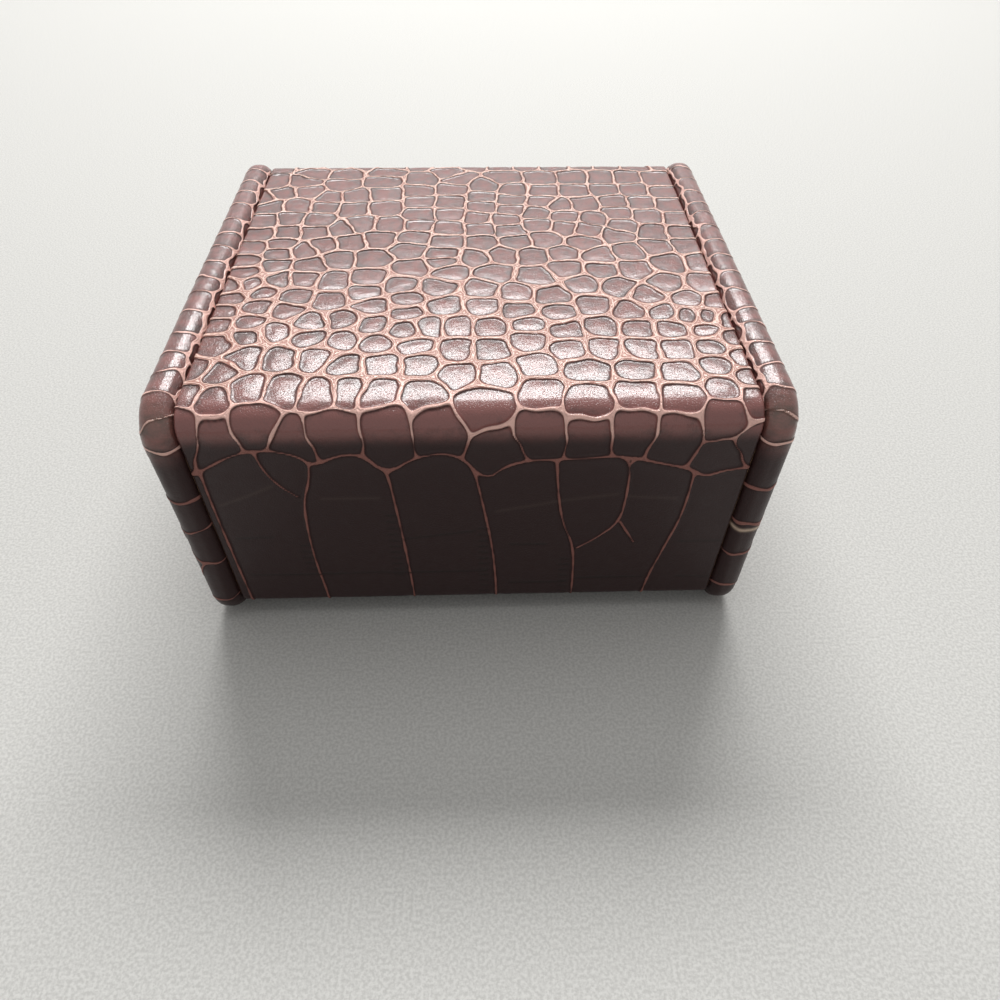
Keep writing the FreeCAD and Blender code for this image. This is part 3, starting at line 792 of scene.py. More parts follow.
def centres_in_rows(rows: Sequence[Row], seed: int, stray: float) -> np.ndarray:
    """Scale centres in rows, each a little off its even place.

    Args:
        rows: the rows.
        seed: start of the random numbers.
        stray: the most that a centre is off, as a share of the scale's width.

    Returns:
        The centres, one line each.
    """
    dice, made = np.random.default_rng(seed), []
    for row in rows:
        for s in np.arange(row.low + row.shift * row.width, row.high, row.width):
            off = dice.uniform(-stray, stray, 2) * row.width
            made.append((s + off[0], row.across + 0.7 * off[1]))
    return np.array(made)


# ---------------------------------------------------------------- leather over boards


@dataclass
class Wrap:
    """Leather or cloth over one face of a board and round all four of its edges.

    The board lies in a plane with directions a and b, and the third number of its own frame is
    the depth below its outer face. The face's middle part is a grid. Round it the section is
    swept along the four sides and round the corners, so the skin is one piece with no seam.
    """

    half_a: float
    half_b: float
    corner: float
    runs: tuple[Run, ...]
    pitch: float
    place: Place
    arc_pitch: float = 0.0
    hide: ScaleMap | None = None
    crown: Callable[[np.ndarray, np.ndarray], np.ndarray] | None = None
    closed: bool = False

    def loop(self, na: int, nb: int) -> tuple[np.ndarray, np.ndarray]:
        """Go round the middle grid.

        Args:
            na: its corners along a.
            nb: its corners along b.

        Returns:
            The numbers of the grid's corners on the way, and the outward direction at each.
        """
        corner_steps = max(3, int(round(self.corner * math.pi / 2 / self.pitch)))
        bottom, right = np.arange(na), na - 1 + na * np.arange(nb)
        top, left = na * (nb - 1) + np.arange(na)[::-1], (na * np.arange(nb))[::-1]
        numbers, angles = [], []
        for side, heading in ((bottom, -90), (right, 0), (top, 90), (left, 180)):
            numbers.append(side)
            angles.append(np.full(len(side), float(heading)))
            fan = heading + 90 * np.arange(1, corner_steps) / corner_steps
            numbers.append(np.full(len(fan), side[-1]))
            angles.append(fan)
        angle = np.radians(np.concatenate(angles))
        return np.concatenate(numbers), np.stack([np.cos(angle), np.sin(angle)], 1)

    def shell(self) -> Shell:
        """Build the skin.

        Returns:
            Its shell in the row frame, with the print's marks where it has a hide.
        """
        core_a, core_b = self.half_a - self.corner, self.half_b - self.corner
        a, b = spread(-core_a, core_a, self.pitch), spread(-core_b, core_b, self.pitch)
        grid = np.stack(np.meshgrid(a, b), -1).reshape(-1, 2)
        base, way = self.loop(len(a), len(b))
        section = Section(self.runs)
        along = section.stations(self.pitch, self.arc_pitch)[1:]
        profile, turn = section.at(along)
        ring = grid[base][None] + way[None] * profile[:, None, :1]
        depth = np.broadcast_to(profile[:, 1:2], ring.shape[:2])
        rings = np.concatenate([ring, depth[..., None]], -1).reshape(-1, 3)
        out = np.zeros((*ring.shape[:2], 3))
        out[..., :2] = way * np.sin(turn)[:, None, None]
        out[..., 2] = -np.cos(turn)[:, None]
        local = np.concatenate([np.column_stack([grid, np.zeros(len(grid))]), rings])
        up = np.tile([0.0, 0.0, -1.0], (len(grid), 1))
        normal = np.concatenate([up, out.reshape(-1, 3)])
        spread_out = (grid[base][None] + way[None] * along[:, None, None]).reshape(-1, 2)
        sheet = np.concatenate([grid, spread_out])
        marks = on_hide(sheet)
        if self.crown is not None:
            local[:, 2] -= self.crown(local[:, 0], local[:, 1]) * (normal[:, 2] < -0.01)
        if self.hide is not None:
            relief = self.hide.relief(sheet)
            local = local + normal * relief.height[:, None]
            marks = relief.marks(sheet)
        faces = [grid_faces(len(b), len(a)), *self.ring_faces(base, len(grid), len(along))]
        shell = Shell(self.place(local), faces, marks)
        return self.outward(shell, len(a), len(b))

    def ring_faces(self, base: np.ndarray, first: int, count: int) -> list[np.ndarray]:
        """Join the grid's edge to the swept rings, and each ring to the next.

        Args:
            base: numbers of the grid's corners on the way round it.
            first: number of the first ring's first corner.
            count: how many rings there are.

        Returns:
            The faces, with the closing one where the form is closed.
        """
        size = len(base)
        here, after = np.arange(size), np.roll(np.arange(size), -1)
        low, low_next = base, base[after]
        fan = low == low_next
        quads = np.stack([low, first + here, first + after, low_next], 1)[~fan]
        points = np.stack([low, first + here, first + after], 1)[fan]
        made = [quads, points]
        for ring in range(count - 1):
            start = first + ring * size
            outer = start + size
            made.append(np.stack([start + here, outer + here, outer + after, start + after], 1))
        if self.closed:
            made.append((first + (count - 1) * size + here)[None, ::-1])
        return made

    def outward(self, shell: Shell, na: int, nb: int) -> Shell:
        """Turn the faces over where the placing has made them face into the board.

        Args:
            shell: the placed skin.
            na: corners of its middle grid along a.
            nb: corners of its middle grid along b.

        Returns:
            The skin with its faces out.
        """
        mid = (nb // 2) * na + na // 2
        p, q, r = shell.points[[mid, mid + 1, mid + na]]
        local = np.array([[0.0, 0.0, 0.0], [0.0, 0.0, -1.0]])
        up = np.diff(self.place(local), axis=0)[0]
        return shell if np.dot(np.cross(q - p, r - p), up) > 0 else shell.flipped()


def plane(
    origin: Sequence[float], a: Sequence[float], b: Sequence[float], inward: Sequence[float]
) -> Place:
    """A placing of a board's own frame in the row frame.

    Args:
        origin: middle of the outer face.
        a: direction of a.
        b: direction of b.
        inward: direction of depth.

    Returns:
        A function that takes points of the board's frame to the row frame.
    """
    axes = np.array([a, b, inward], float)

    def put(points: np.ndarray) -> np.ndarray:
        """Points of the board's frame, in the row frame."""
        return np.array(origin, float) + points @ axes

    return put


def pillow(half_a: float, half_b: float, rise: float) -> Callable:
    """Crown of a stuffed pad: full over most of it and easing down to nothing at its edges.

    Args:
        half_a: half the pad's size along a.
        half_b: half the pad's size along b.
        rise: height of the crown.

    Returns:
        A function that gives the height at places on the pad.
    """

    def side(x: np.ndarray, half: float) -> np.ndarray:
        """Share of the rise, from one pair of edges."""
        inside = np.clip((half - np.abs(x)) / min(half, 9.0), 0, 1)
        return np.sqrt(1 - (1 - inside) ** 2)

    def height(a: np.ndarray, b: np.ndarray) -> np.ndarray:
        """Height of the crown at a and b."""
        return rise * side(a, half_a) * side(b, half_b)

    return height


@dataclass
class Pad:
    """A suede or felt panel with soft edges and a crowned face.

    low and high are the corners of its box, and facing is the axis its show side looks along,
    such as "+z".
    """

    low: tuple[float, float, float]
    high: tuple[float, float, float]
    facing: str
    rise: float = 0.0
    soft: float = 0.4
    pitch: float = 2.5

    def shell(self) -> Shell:
        """Build the panel.

        Returns:
            Its closed form in the row frame.
        """
        axis = "xyz".index(self.facing[1])
        sign = 1.0 if self.facing[0] == "+" else -1.0
        low, high = np.array(self.low, float), np.array(self.high, float)
        a, b = (i for i in range(3) if i != axis)
        axes = np.eye(3)
        half = (high - low) / 2
        origin = (low + high) / 2
        origin[axis] = (high[axis] if sign > 0 else low[axis]) - sign * self.rise
        corner = self.soft + 0.6
        thick = 2 * half[axis] - self.rise
        soft = min(self.soft, thick * 0.45)
        wrap = Wrap(
            half[a],
            half[b],
            corner,
            (Run(corner - soft), quarter(soft), Run(thick - 2 * soft), quarter(soft), Run(0.3)),
            self.pitch,
            plane(origin, axes[a], axes[b], -sign * axes[axis]),
            arc_pitch=soft * 0.6,
            crown=pillow(half[a], half[b], self.rise) if self.rise else None,
            closed=True,
        )
        return wrap.shell()


# ---------------------------------------------------------------- finishes

# Numbers of the sockets of a Mix node that mixes colours.
MIX_A, MIX_B, MIX_OUT = 6, 7, 2
# A socket, or the number or sRGB hex colour that goes into one.
Feed = Socket | float | str | tuple[float, ...]


def add_node(
    tree: Tree,
    kind: str,
    inputs: dict[int | str, Feed] | Sequence[Feed] = (),
    output: int | str = 0,
    **settings: object,
) -> Socket | None:
    """Add one node with its settings, and fill or link its inputs.

    Args:
        tree: node tree it goes in.
        kind: Blender's name of the node type, without "ShaderNode".
        inputs: what goes into its inputs, in their order or by their names or numbers.
        output: name or number of the output that is wanted.
        **settings: the node's own properties.

    Returns:
        That output, or None from a node that ends the tree.
    """
    node = tree.nodes.new("ShaderNode" + kind)
    for key, value in settings.items():
        setattr(node, key, value)
    for key, value in inputs.items() if isinstance(inputs, dict) else enumerate(inputs):
        if isinstance(value, Socket):
            tree.links.new(value, node.inputs[key])
        else:
            node.inputs[key].default_value = srgb(value) if isinstance(value, str) else value
    return node.outputs[output] if node.outputs else None


def dyed(tree: Tree, ground: Feed, *coats: tuple[Feed, Feed]) -> Socket:
    """Lay coats of colour over a ground.

    Args:
        tree: node tree of the material.
        ground: the colour underneath.
        *coats: for each coat in turn, how much of it shows and its colour.

    Returns:
        The colour that is seen.
    """
    for share, colour in coats:
        layers = {0: share, MIX_A: ground, MIX_B: colour}
        ground = add_node(tree, "Mix", layers, MIX_OUT, data_type="RGBA")
    return ground


def per_mm(size: float) -> float:
    """Texture scale that repeats a pattern every so many millimetres."""
    return 1.0 / (size * MM)


@dataclass(frozen=True)
class Finish:
    """A real material with its surface treatment; the name is the Blender material's."""

    name: str

    def material(self) -> bpy.types.Material:
        """Make the finish's material the first time that it is asked for.

        Returns:
            The material.
        """
        made = bpy.data.materials.get(self.name)
        if made is None:
            made = bpy.data.materials.new(self.name)
            made.use_nodes = True
            tree = made.node_tree
            tree.nodes.clear()
            shader = add_node(tree, "BsdfPrincipled", self.sockets(tree))
            add_node(tree, "OutputMaterial", {"Surface": shader})
        return made

    def sockets(self, tree: Tree) -> dict[str, Feed]:
        """What goes into each of the shader's sockets that isn't left at its default."""
        raise NotImplementedError


@dataclass(frozen=True)
class CrocPrintLeather(Finish):
    """Cowhide plated with a crocodile print, dyed dark and wiped, under a thin satin top coat.

    The plate presses the scales down and leaves the creases standing, and the wipe rubs those
    paler and pinker than the burgundy scales. Some colour is painted light and shade: a shadow at
    the foot of each crease on one side, lighter copies of the dye where the lid turns down and a
    dark copy on the faces that the light misses. Fine pores break up the satin highlights: real
    ones are about 0.15 mm apart, and these are drawn as coarse as they need to show.
    """

    scale: str = "#7b3d35"
    scale_dark: str = "#41211d"
    # Painted light: lighter copies of the dye where the lid turns down and on the cheeks' tops.
    rim_scale: str = "#834e49"
    # Painted shade: the dark copy of the dye on the faces that the light misses, and on the fronts.
    tile: str = "#2c1818"
    crease: str = "#efcbbc"
    crease_dark: str = "#b47b6d"
    # Painted highlight on the creases where the lid turns down, then painted shade on the tiles'
    # creases.
    rim_crease: str = "#f8c8bb"
    tile_crease: str = "#94635a"
    # Dark dye at the foot of a crease, which also paints the shadow that a crease casts on the side
    # away from the light.
    foot: str = "#2a1211"
    crack: str = "#1c1110"
    # Pale scuffs and lines, and the painted sheen on the cheeks' corners.
    scuff: str = "#d9bfa8"
    drift_mm: float = 2.5
    pore_mm: float = 0.45
    crumple_mm: float = 1.6
    wrinkle_mm: float = 0.62
    mottle_mm: float = 3.5

    def sockets(self, tree: Tree) -> dict[str, Feed]:
        """Dye by the print's marks, with wrinkles along the creases and fine pores.

        Args:
            tree: node tree of the material.

        Returns:
            What goes into each of the shader's sockets.
        """
        add = partial(add_node, tree)
        marks = {key: add("Attribute", output="Fac", attribute_name=key) for key in MARKS}
        hide = add("Attribute", output="Vector", attribute_name="sheet")
        edge, deep = marks["edge"], marks["deep"]
        clouds = {
            key: add(
                "TexNoise",
                {"Vector": hide, "Scale": per_mm(size), "Detail": octaves, "Roughness": 0.6},
            )
            for key, size, octaves in (
                ("drift", self.drift_mm, 2.0),
                ("mottle", self.mottle_mm, 4.0),
                ("crumple", self.crumple_mm, 3.0),
                ("pores", self.pore_mm, 1.0),
            )
        }
        # Lines that run beside the crease's middle, one every wrinkle_mm, and drift to and fro.
        drift = add("Math", (clouds["drift"], 12.0), operation="MULTIPLY")
        waves = add("Math", (edge, 2 * math.pi / self.wrinkle_mm, drift), operation="MULTIPLY_ADD")
        past = add("Math", (edge, marks["half"]), operation="SUBTRACT")
        # For each share: what it follows, the span it changes over, and its two ends.
        share = {
            key: add(
                "MapRange",
                {"Value": value, "From Min": low, "From Max": high, "To Min": a, "To Max": b},
                interpolation_type="SMOOTHSTEP",
            )
            for key, value, low, high, a, b in (
                ("raised", past, -0.12, 0.1, 1.0, 0.0),
                ("beside", past, -0.05, 0.1, 0.0, 1.0),
                ("close", past, 0.15, 0.6, 1.0, 0.0),
                ("rubbed", past, 0.0, 2.6, -0.25, 0.2),
                ("wrinkle", add("Math", (waves,), operation="SINE"), -0.9, 0.9, 0.0, 1.0),
                ("mottle", clouds["mottle"], 0.2, 0.8, 0.0, 1.0),
                ("pores", clouds["pores"], 0.38, 0.5, 0.0, 1.0),
                ("patchy", clouds["crumple"], 0.35, 0.6, 0.45, 1.0),
                ("at_rim", deep, 0.0, 0.25, 0.0, 1.0),
                ("dark", deep, 0.2, 1.0, 0.0, 1.0),
                ("on_tile", deep, 0.4, 1.0, 0.0, 1.0),
            )
        }
        raised, mottle, dark, at_rim = (share[k] for k in ("raised", "mottle", "dark", "at_rim"))
        # A dark band at the foot of each crease: a little dye all round, and a painted shadow where
        # the crease stands between the scale and the light.
        foot = add("Math", (share["beside"], share["close"]), operation="MULTIPLY")
        lee = add("Math", (marks["lee"], 0.85, 0.1), operation="MULTIPLY_ADD")
        painted_shadow = add("Math", (foot, lee), operation="MULTIPLY")
        painted_shadow = add("Math", (painted_shadow, share["patchy"]), operation="MULTIPLY")
        tone = add("Math", (mottle, share["rubbed"]), operation="ADD")
        tone = add("Math", (marks["tone"], 0.12, tone), operation="MULTIPLY_ADD")
        wrinkled = add("Math", (share["wrinkle"], raised), operation="MULTIPLY")
        # Painted light and shade: a lighter copy of the dye where the lid turns down and on the
        # cheeks' tops, and the dark copy on the faces that the light misses.
        rim = dyed(tree, self.scale_dark, (tone, self.rim_scale))
        scale = dyed(tree, self.scale_dark, (tone, self.scale), (at_rim, rim), (dark, self.tile))
        # The creases take a painted highlight where the lid turns down and painted shade on the
        # tiles.
        crease = dyed(
            tree,
            self.crease_dark,
            (share["wrinkle"], self.crease),
            (at_rim, self.rim_crease),
            (share["on_tile"], self.tile_crease),
        )
        colour = dyed(
            tree,
            scale,
            (painted_shadow, self.foot),
            (raised, crease),
            (marks["crack"], self.crack),
            (marks["scuff"], self.scuff),
        )
        height: Feed = 0.0
        for part, much in (
            (share["pores"], 0.03), (raised, 0.12), (clouds["crumple"], 0.06), (wrinkled, 0.12)
        ):
            height = add("Math", (part, much, height), operation="MULTIPLY_ADD")
        bump = add("Bump", {"Height": height, "Strength": 1.0, "Distance": MM})
        coat = add("Math", (raised, -0.4, 0.82), operation="MULTIPLY_ADD")
        coat = add("Math", (dark, -0.55, coat), operation="MULTIPLY_ADD")
        clear = add("Math", (foot, -0.8, 1.0), operation="MULTIPLY_ADD")
        return {
            "Base Color": colour,
            "Roughness": add("Math", (mottle, 0.12, 0.46), operation="MULTIPLY_ADD"),
            "Normal": bump,
            "Specular IOR Level": 0.2,
            "Coat Weight": add("Math", (coat, clear), operation="MULTIPLY"),
            "Coat Roughness": 0.16,
            "Coat IOR": 1.6,
            "Coat Normal": bump,
        }


@dataclass(frozen=True)
class Grained(Finish):
    """A finish in two colours that follow one fine pattern, which raises the surface too.

    size_mm is the size of the pattern, span the values of it over which the colour changes
    from dark to light, and bump_mm how far bump of full strength would raise it.
    """

    dark: str = "#000000"
    light: str = "#ffffff"
    size_mm: float = 1.0
    span: tuple[float, float] = (0.0, 1.0)
    strength: float = 0.5
    bump_mm: float = 0.1
    roughness: float = 0.5

    def pattern(self, tree: Tree, place: Socket) -> tuple[Socket, Socket]:
        """Values that the colour and the height follow, at a place of the object's own."""
        raise NotImplementedError

    def sockets(self, tree: Tree) -> dict[str, Feed]:
        """Colour and bump from the pattern.

        Args:
            tree: node tree of the material.

        Returns:
            What goes into each of the shader's sockets.
        """
        tint, height = self.pattern(tree, add_node(tree, "TexCoord", output="Object"))
        low, high = self.span
        share = add_node(tree, "MapRange", {"Value": tint, "From Min": low, "From Max": high})
        bump = {"Height": height, "Strength": self.strength, "Distance": self.bump_mm * MM}
        return {
            "Base Color": dyed(tree, self.dark, (share, self.light)),
            "Roughness": self.roughness,
            "Normal": add_node(tree, "Bump", bump),
        }

    def fibres(self, place: Socket, **more: float) -> dict[str, Feed]:
        """Inputs of a noise of the pattern's size, five octaves deep unless more says otherwise."""
        return {"Vector": place, "Scale": per_mm(self.size_mm), "Detail": 5.0} | more


@dataclass(frozen=True)
class SmoothLeather(Grained):
    """Dyed strap leather, two plies glued and stitched, with burnished and painted edges.

    Close pores and a soft shine. The pores, 0.15 mm apart in truth, are drawn coarser to show.
    """

    dark: str = "#4a2c2b"
    light: str = "#5f3b37"
    size_mm: float = 0.5
    cloud_mm: float = 4.0
    strength: float = 0.4
    bump_mm: float = 0.06
    roughness: float = 0.42

    def pattern(self, tree: Tree, place: Socket) -> tuple[Socket, Socket]:
        """Broad clouds of dye, and pores.

        Args:
            tree: node tree of the material.
            place: the object's own coordinates.

        Returns:
            What the colour follows, and what the height follows.
        """
        clouds = {"Vector": place, "Scale": per_mm(self.cloud_mm), "Detail": 4.0}
        pores = {"Vector": place, "Scale": per_mm(self.size_mm)}
        return add_node(tree, "TexNoise", clouds), add_node(tree, "TexVoronoi", pores)


@dataclass(frozen=True)
class SuedeCloth(Grained):
    """Tan suede cloth: a short brushed nap that lies lighter or darker as it was stroked.

    Its fibres, a twentieth of a millimetre in truth, are drawn coarser to show.
    """

    dark: str = "#a27c58"
    light: str = "#c9a37c"
    size_mm: float = 0.35
    stroke_mm: float = 9.0
    span: tuple[float, float] = (0.35, 0.9)
    strength: float = 0.6
    bump_mm: float = 0.12
    roughness: float = 0.95

    def pattern(self, tree: Tree, place: Socket) -> tuple[Socket, Socket]:
        """Broad strokes of the brush, and fine fibres.

        Args:
            tree: node tree of the material.
            place: the object's own coordinates.

        Returns:
            What the colour follows, and what the height follows.
        """
        broad = {"Vector": place, "Scale": per_mm(self.stroke_mm), "Detail": 3.0, "Distortion": 1.2}
        stroke = add_node(tree, "TexNoise", broad)
        fibre = add_node(tree, "TexNoise", self.fibres(place, Detail=4.0, Roughness=0.75))
        return add_node(tree, "Math", (stroke, 0.25, fibre), operation="MULTIPLY_ADD"), fibre

    def sockets(self, tree: Tree) -> dict[str, Feed]:
        """Add the sheen of the raised fibre ends."""
        sheen = {"Sheen Weight": 0.25, "Sheen Roughness": 0.5, "Sheen Tint": self.light}
        return super().sockets(tree) | {"Specular IOR Level": 0.2} | sheen


@dataclass(frozen=True)
class WoolFelt(Grained):
    """Pressed felt: matted fibres that run every way, with paler ones among them.

    The fibres are as thin as hair in truth, and are drawn coarser to show.
    """

    dark: str = "#33251f"
    light: str = "#54423a"
    size_mm: float = 0.9
    span: tuple[float, float] = (0.42, 0.68)
    strength: float = 0.8
    bump_mm: float = 0.25
    roughness: float = 1.0

    def pattern(self, tree: Tree, place: Socket) -> tuple[Socket, Socket]:
        """Long warped specks of fibre."""
        fibres = self.fibres(place, Detail=6.0, Roughness=0.8, Distortion=2.5)
        return (add_node(tree, "TexNoise", fibres),) * 2

    def sockets(self, tree: Tree) -> dict[str, Feed]:
        """Add the sheen of loose fibres."""
        return super().sockets(tree) | {"Sheen Weight": 0.2}


@dataclass(frozen=True)
class Fibreboard(Grained):
    """Sawn fibreboard: a close brown pulp with darker and paler shreds, quite matt.

    The shreds, 0.2 mm wide in truth, are drawn coarser to show.
    """

    dark: str = "#8a6b4b"
    light: str = "#a98a68"
    size_mm: float = 0.6
    roughness: float = 0.85

    def pattern(self, tree: Tree, place: Socket) -> tuple[Socket, Socket]:
        """Fine shreds in a mottled pulp."""
        return (add_node(tree, "TexNoise", self.fibres(place, Roughness=0.8)),) * 2


@dataclass(frozen=True)
class TurnedBeech(Grained):
    """Raw beech: pink-tan wood with short dark ray flecks every few millimetres."""

    dark: str = "#a97b52"
    light: str = "#d2a87c"
    size_mm: float = 0.5
    span: tuple[float, float] = (0.35, 0.6)
    strength: float = 0.3
    bump_mm: float = 0.05
    roughness: float = 0.6

    def pattern(self, tree: Tree, place: Socket) -> tuple[Socket, Socket]:
        """Grain drawn out along x, the length of the dowels and the stop."""
        drawn = add_node(tree, "Mapping", {"Vector": place, "Scale": (0.12, 1.0, 1.0)})
        return (add_node(tree, "TexNoise", self.fibres(drawn, Roughness=0.7)),) * 2


@dataclass(frozen=True)
class NickelPlate(Finish):
    """Steel with a satin nickel plate: a warm grey metal with faint brush lines.

    The lines, 0.05 mm apart in truth, are drawn coarser to show.
    """

    metal: str = "#c9c3ba"
    line_mm: float = 0.3

    def sockets(self, tree: Tree) -> dict[str, Feed]:
        """Change only the roughness, in brush lines along x.

        Args:
            tree: node tree of the material.

        Returns:
            What goes into each of the shader's sockets.
        """
        place = add_node(tree, "TexCoord", output="Object")
        drawn = add_node(tree, "Mapping", {"Vector": place, "Scale": (0.05, 1.0, 1.0)})
        brushed = {"Vector": drawn, "Scale": per_mm(self.line_mm), "Detail": 3.0}
        lines = add_node(tree, "TexNoise", brushed)
        rough = add_node(tree, "MapRange", {"Value": lines, "To Min": 0.22, "To Max": 0.42})
        return {"Base Color": self.metal, "Metallic": 1.0, "Roughness": rough}


@dataclass(frozen=True)
class WaxedThread(Grained):
    """Waxed linen thread: two twisted strands, a little glossy from the wax."""

    # The dark colour lies in the hollows of the twist, between the strands: painted shade.
    dark: str = "#3f2420"
    light: str = "#6b4038"
    size_mm: float = 0.7
    slant: float = 0.6
    waves: float = 6.28
    strength: float = 0.6
    bump_mm: float = 0.06

    def pattern(self, tree: Tree, place: Socket) -> tuple[Socket, Socket]:
        """Slanted bands for the twist of the strands.

        Args:
            tree: node tree of the material.
            place: the object's own coordinates.

        Returns:
            What the colour follows, and what the height follows.
        """
        turned = add_node(tree, "Mapping", {"Vector": place, "Rotation": (self.slant,) * 3})
        bands = {"Vector": turned, "Scale": per_mm(self.size_mm) / self.waves}
        return (add_node(tree, "TexWave", bands, "Fac"),) * 2


@dataclass(frozen=True)
class StudioCard(Grained):
    """Grained grey card that the box stands on: matt, with a close bead."""

    dark: str = "#c3c2be"
    light: str = "#d6d5d1"
    size_mm: float = 0.8
    span: tuple[float, float] = (0.38, 0.62)
    strength: float = 0.35
    bump_mm: float = 0.2
    roughness: float = 0.8

    def pattern(self, tree: Tree, place: Socket) -> tuple[Socket, Socket]:
        """A close bead."""
        return (add_node(tree, "TexNoise", self.fibres(place, Detail=2.0, Roughness=0.6)),) * 2


CROC = CrocPrintLeather("croc_print_cowhide_satin")
STRAP = SmoothLeather("strap_leather_edge_painted")
SUEDE = SuedeCloth("tan_suede_cloth_brushed")
CARD_SUEDE = SuedeCloth("tan_suede_over_board", light="#c39c74", dark="#9b7450")
FELT = WoolFelt("brown_felt_pressed")
FIBREBOARD = Fibreboard("fibreboard_sawn")
BEECH = TurnedBeech("beech_turned_raw")
NICKEL = NickelPlate("steel_nickel_satin")
THREAD = WaxedThread("linen_thread_waxed")
FLOOR = StudioCard("studio_card_grained")

NODE_FINISHES: dict[Slot, Finish] = {
    Slot.CROC: CROC,
    Slot.STRAP: STRAP,
    Slot.FIBREBOARD: FIBREBOARD,
    Slot.CARD: CARD_SUEDE,
    Slot.SUEDE: SUEDE,
    Slot.FELT: FELT,
    Slot.NICKEL: NICKEL,
    Slot.BEECH: BEECH,
}


def piece(
    name: str,
    shells: Sequence[Shell],
    finish: Finish,
    slot: Slot,
    body: Body | None,
    replaces: Sequence[str] = (),
) -> bpy.types.Object:
    """Make one visible piece of the box, hang it on its body and hide the CAD nodes it stands for.

    Args:
        name: name of the piece.
        shells: the meshes it is made of.
        finish: its finish.
        slot: the record's slot of the piece's finish; not used.
        body: the body it rides on, or None to leave it on no body.
        replaces: the CAD nodes that it stands for.

    Returns:
        The piece.
    """
    made = make_object(name, join(shells))
    made.data.materials.append(finish.material())
    if body is not None:
        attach(made, body.value)
    if replaces:
        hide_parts(*replaces)
    log.info("%s: %d faces, for %s", name, len(made.data.polygons), ", ".join(replaces) or "itself")
    return made


# ---------------------------------------------------------------- the box


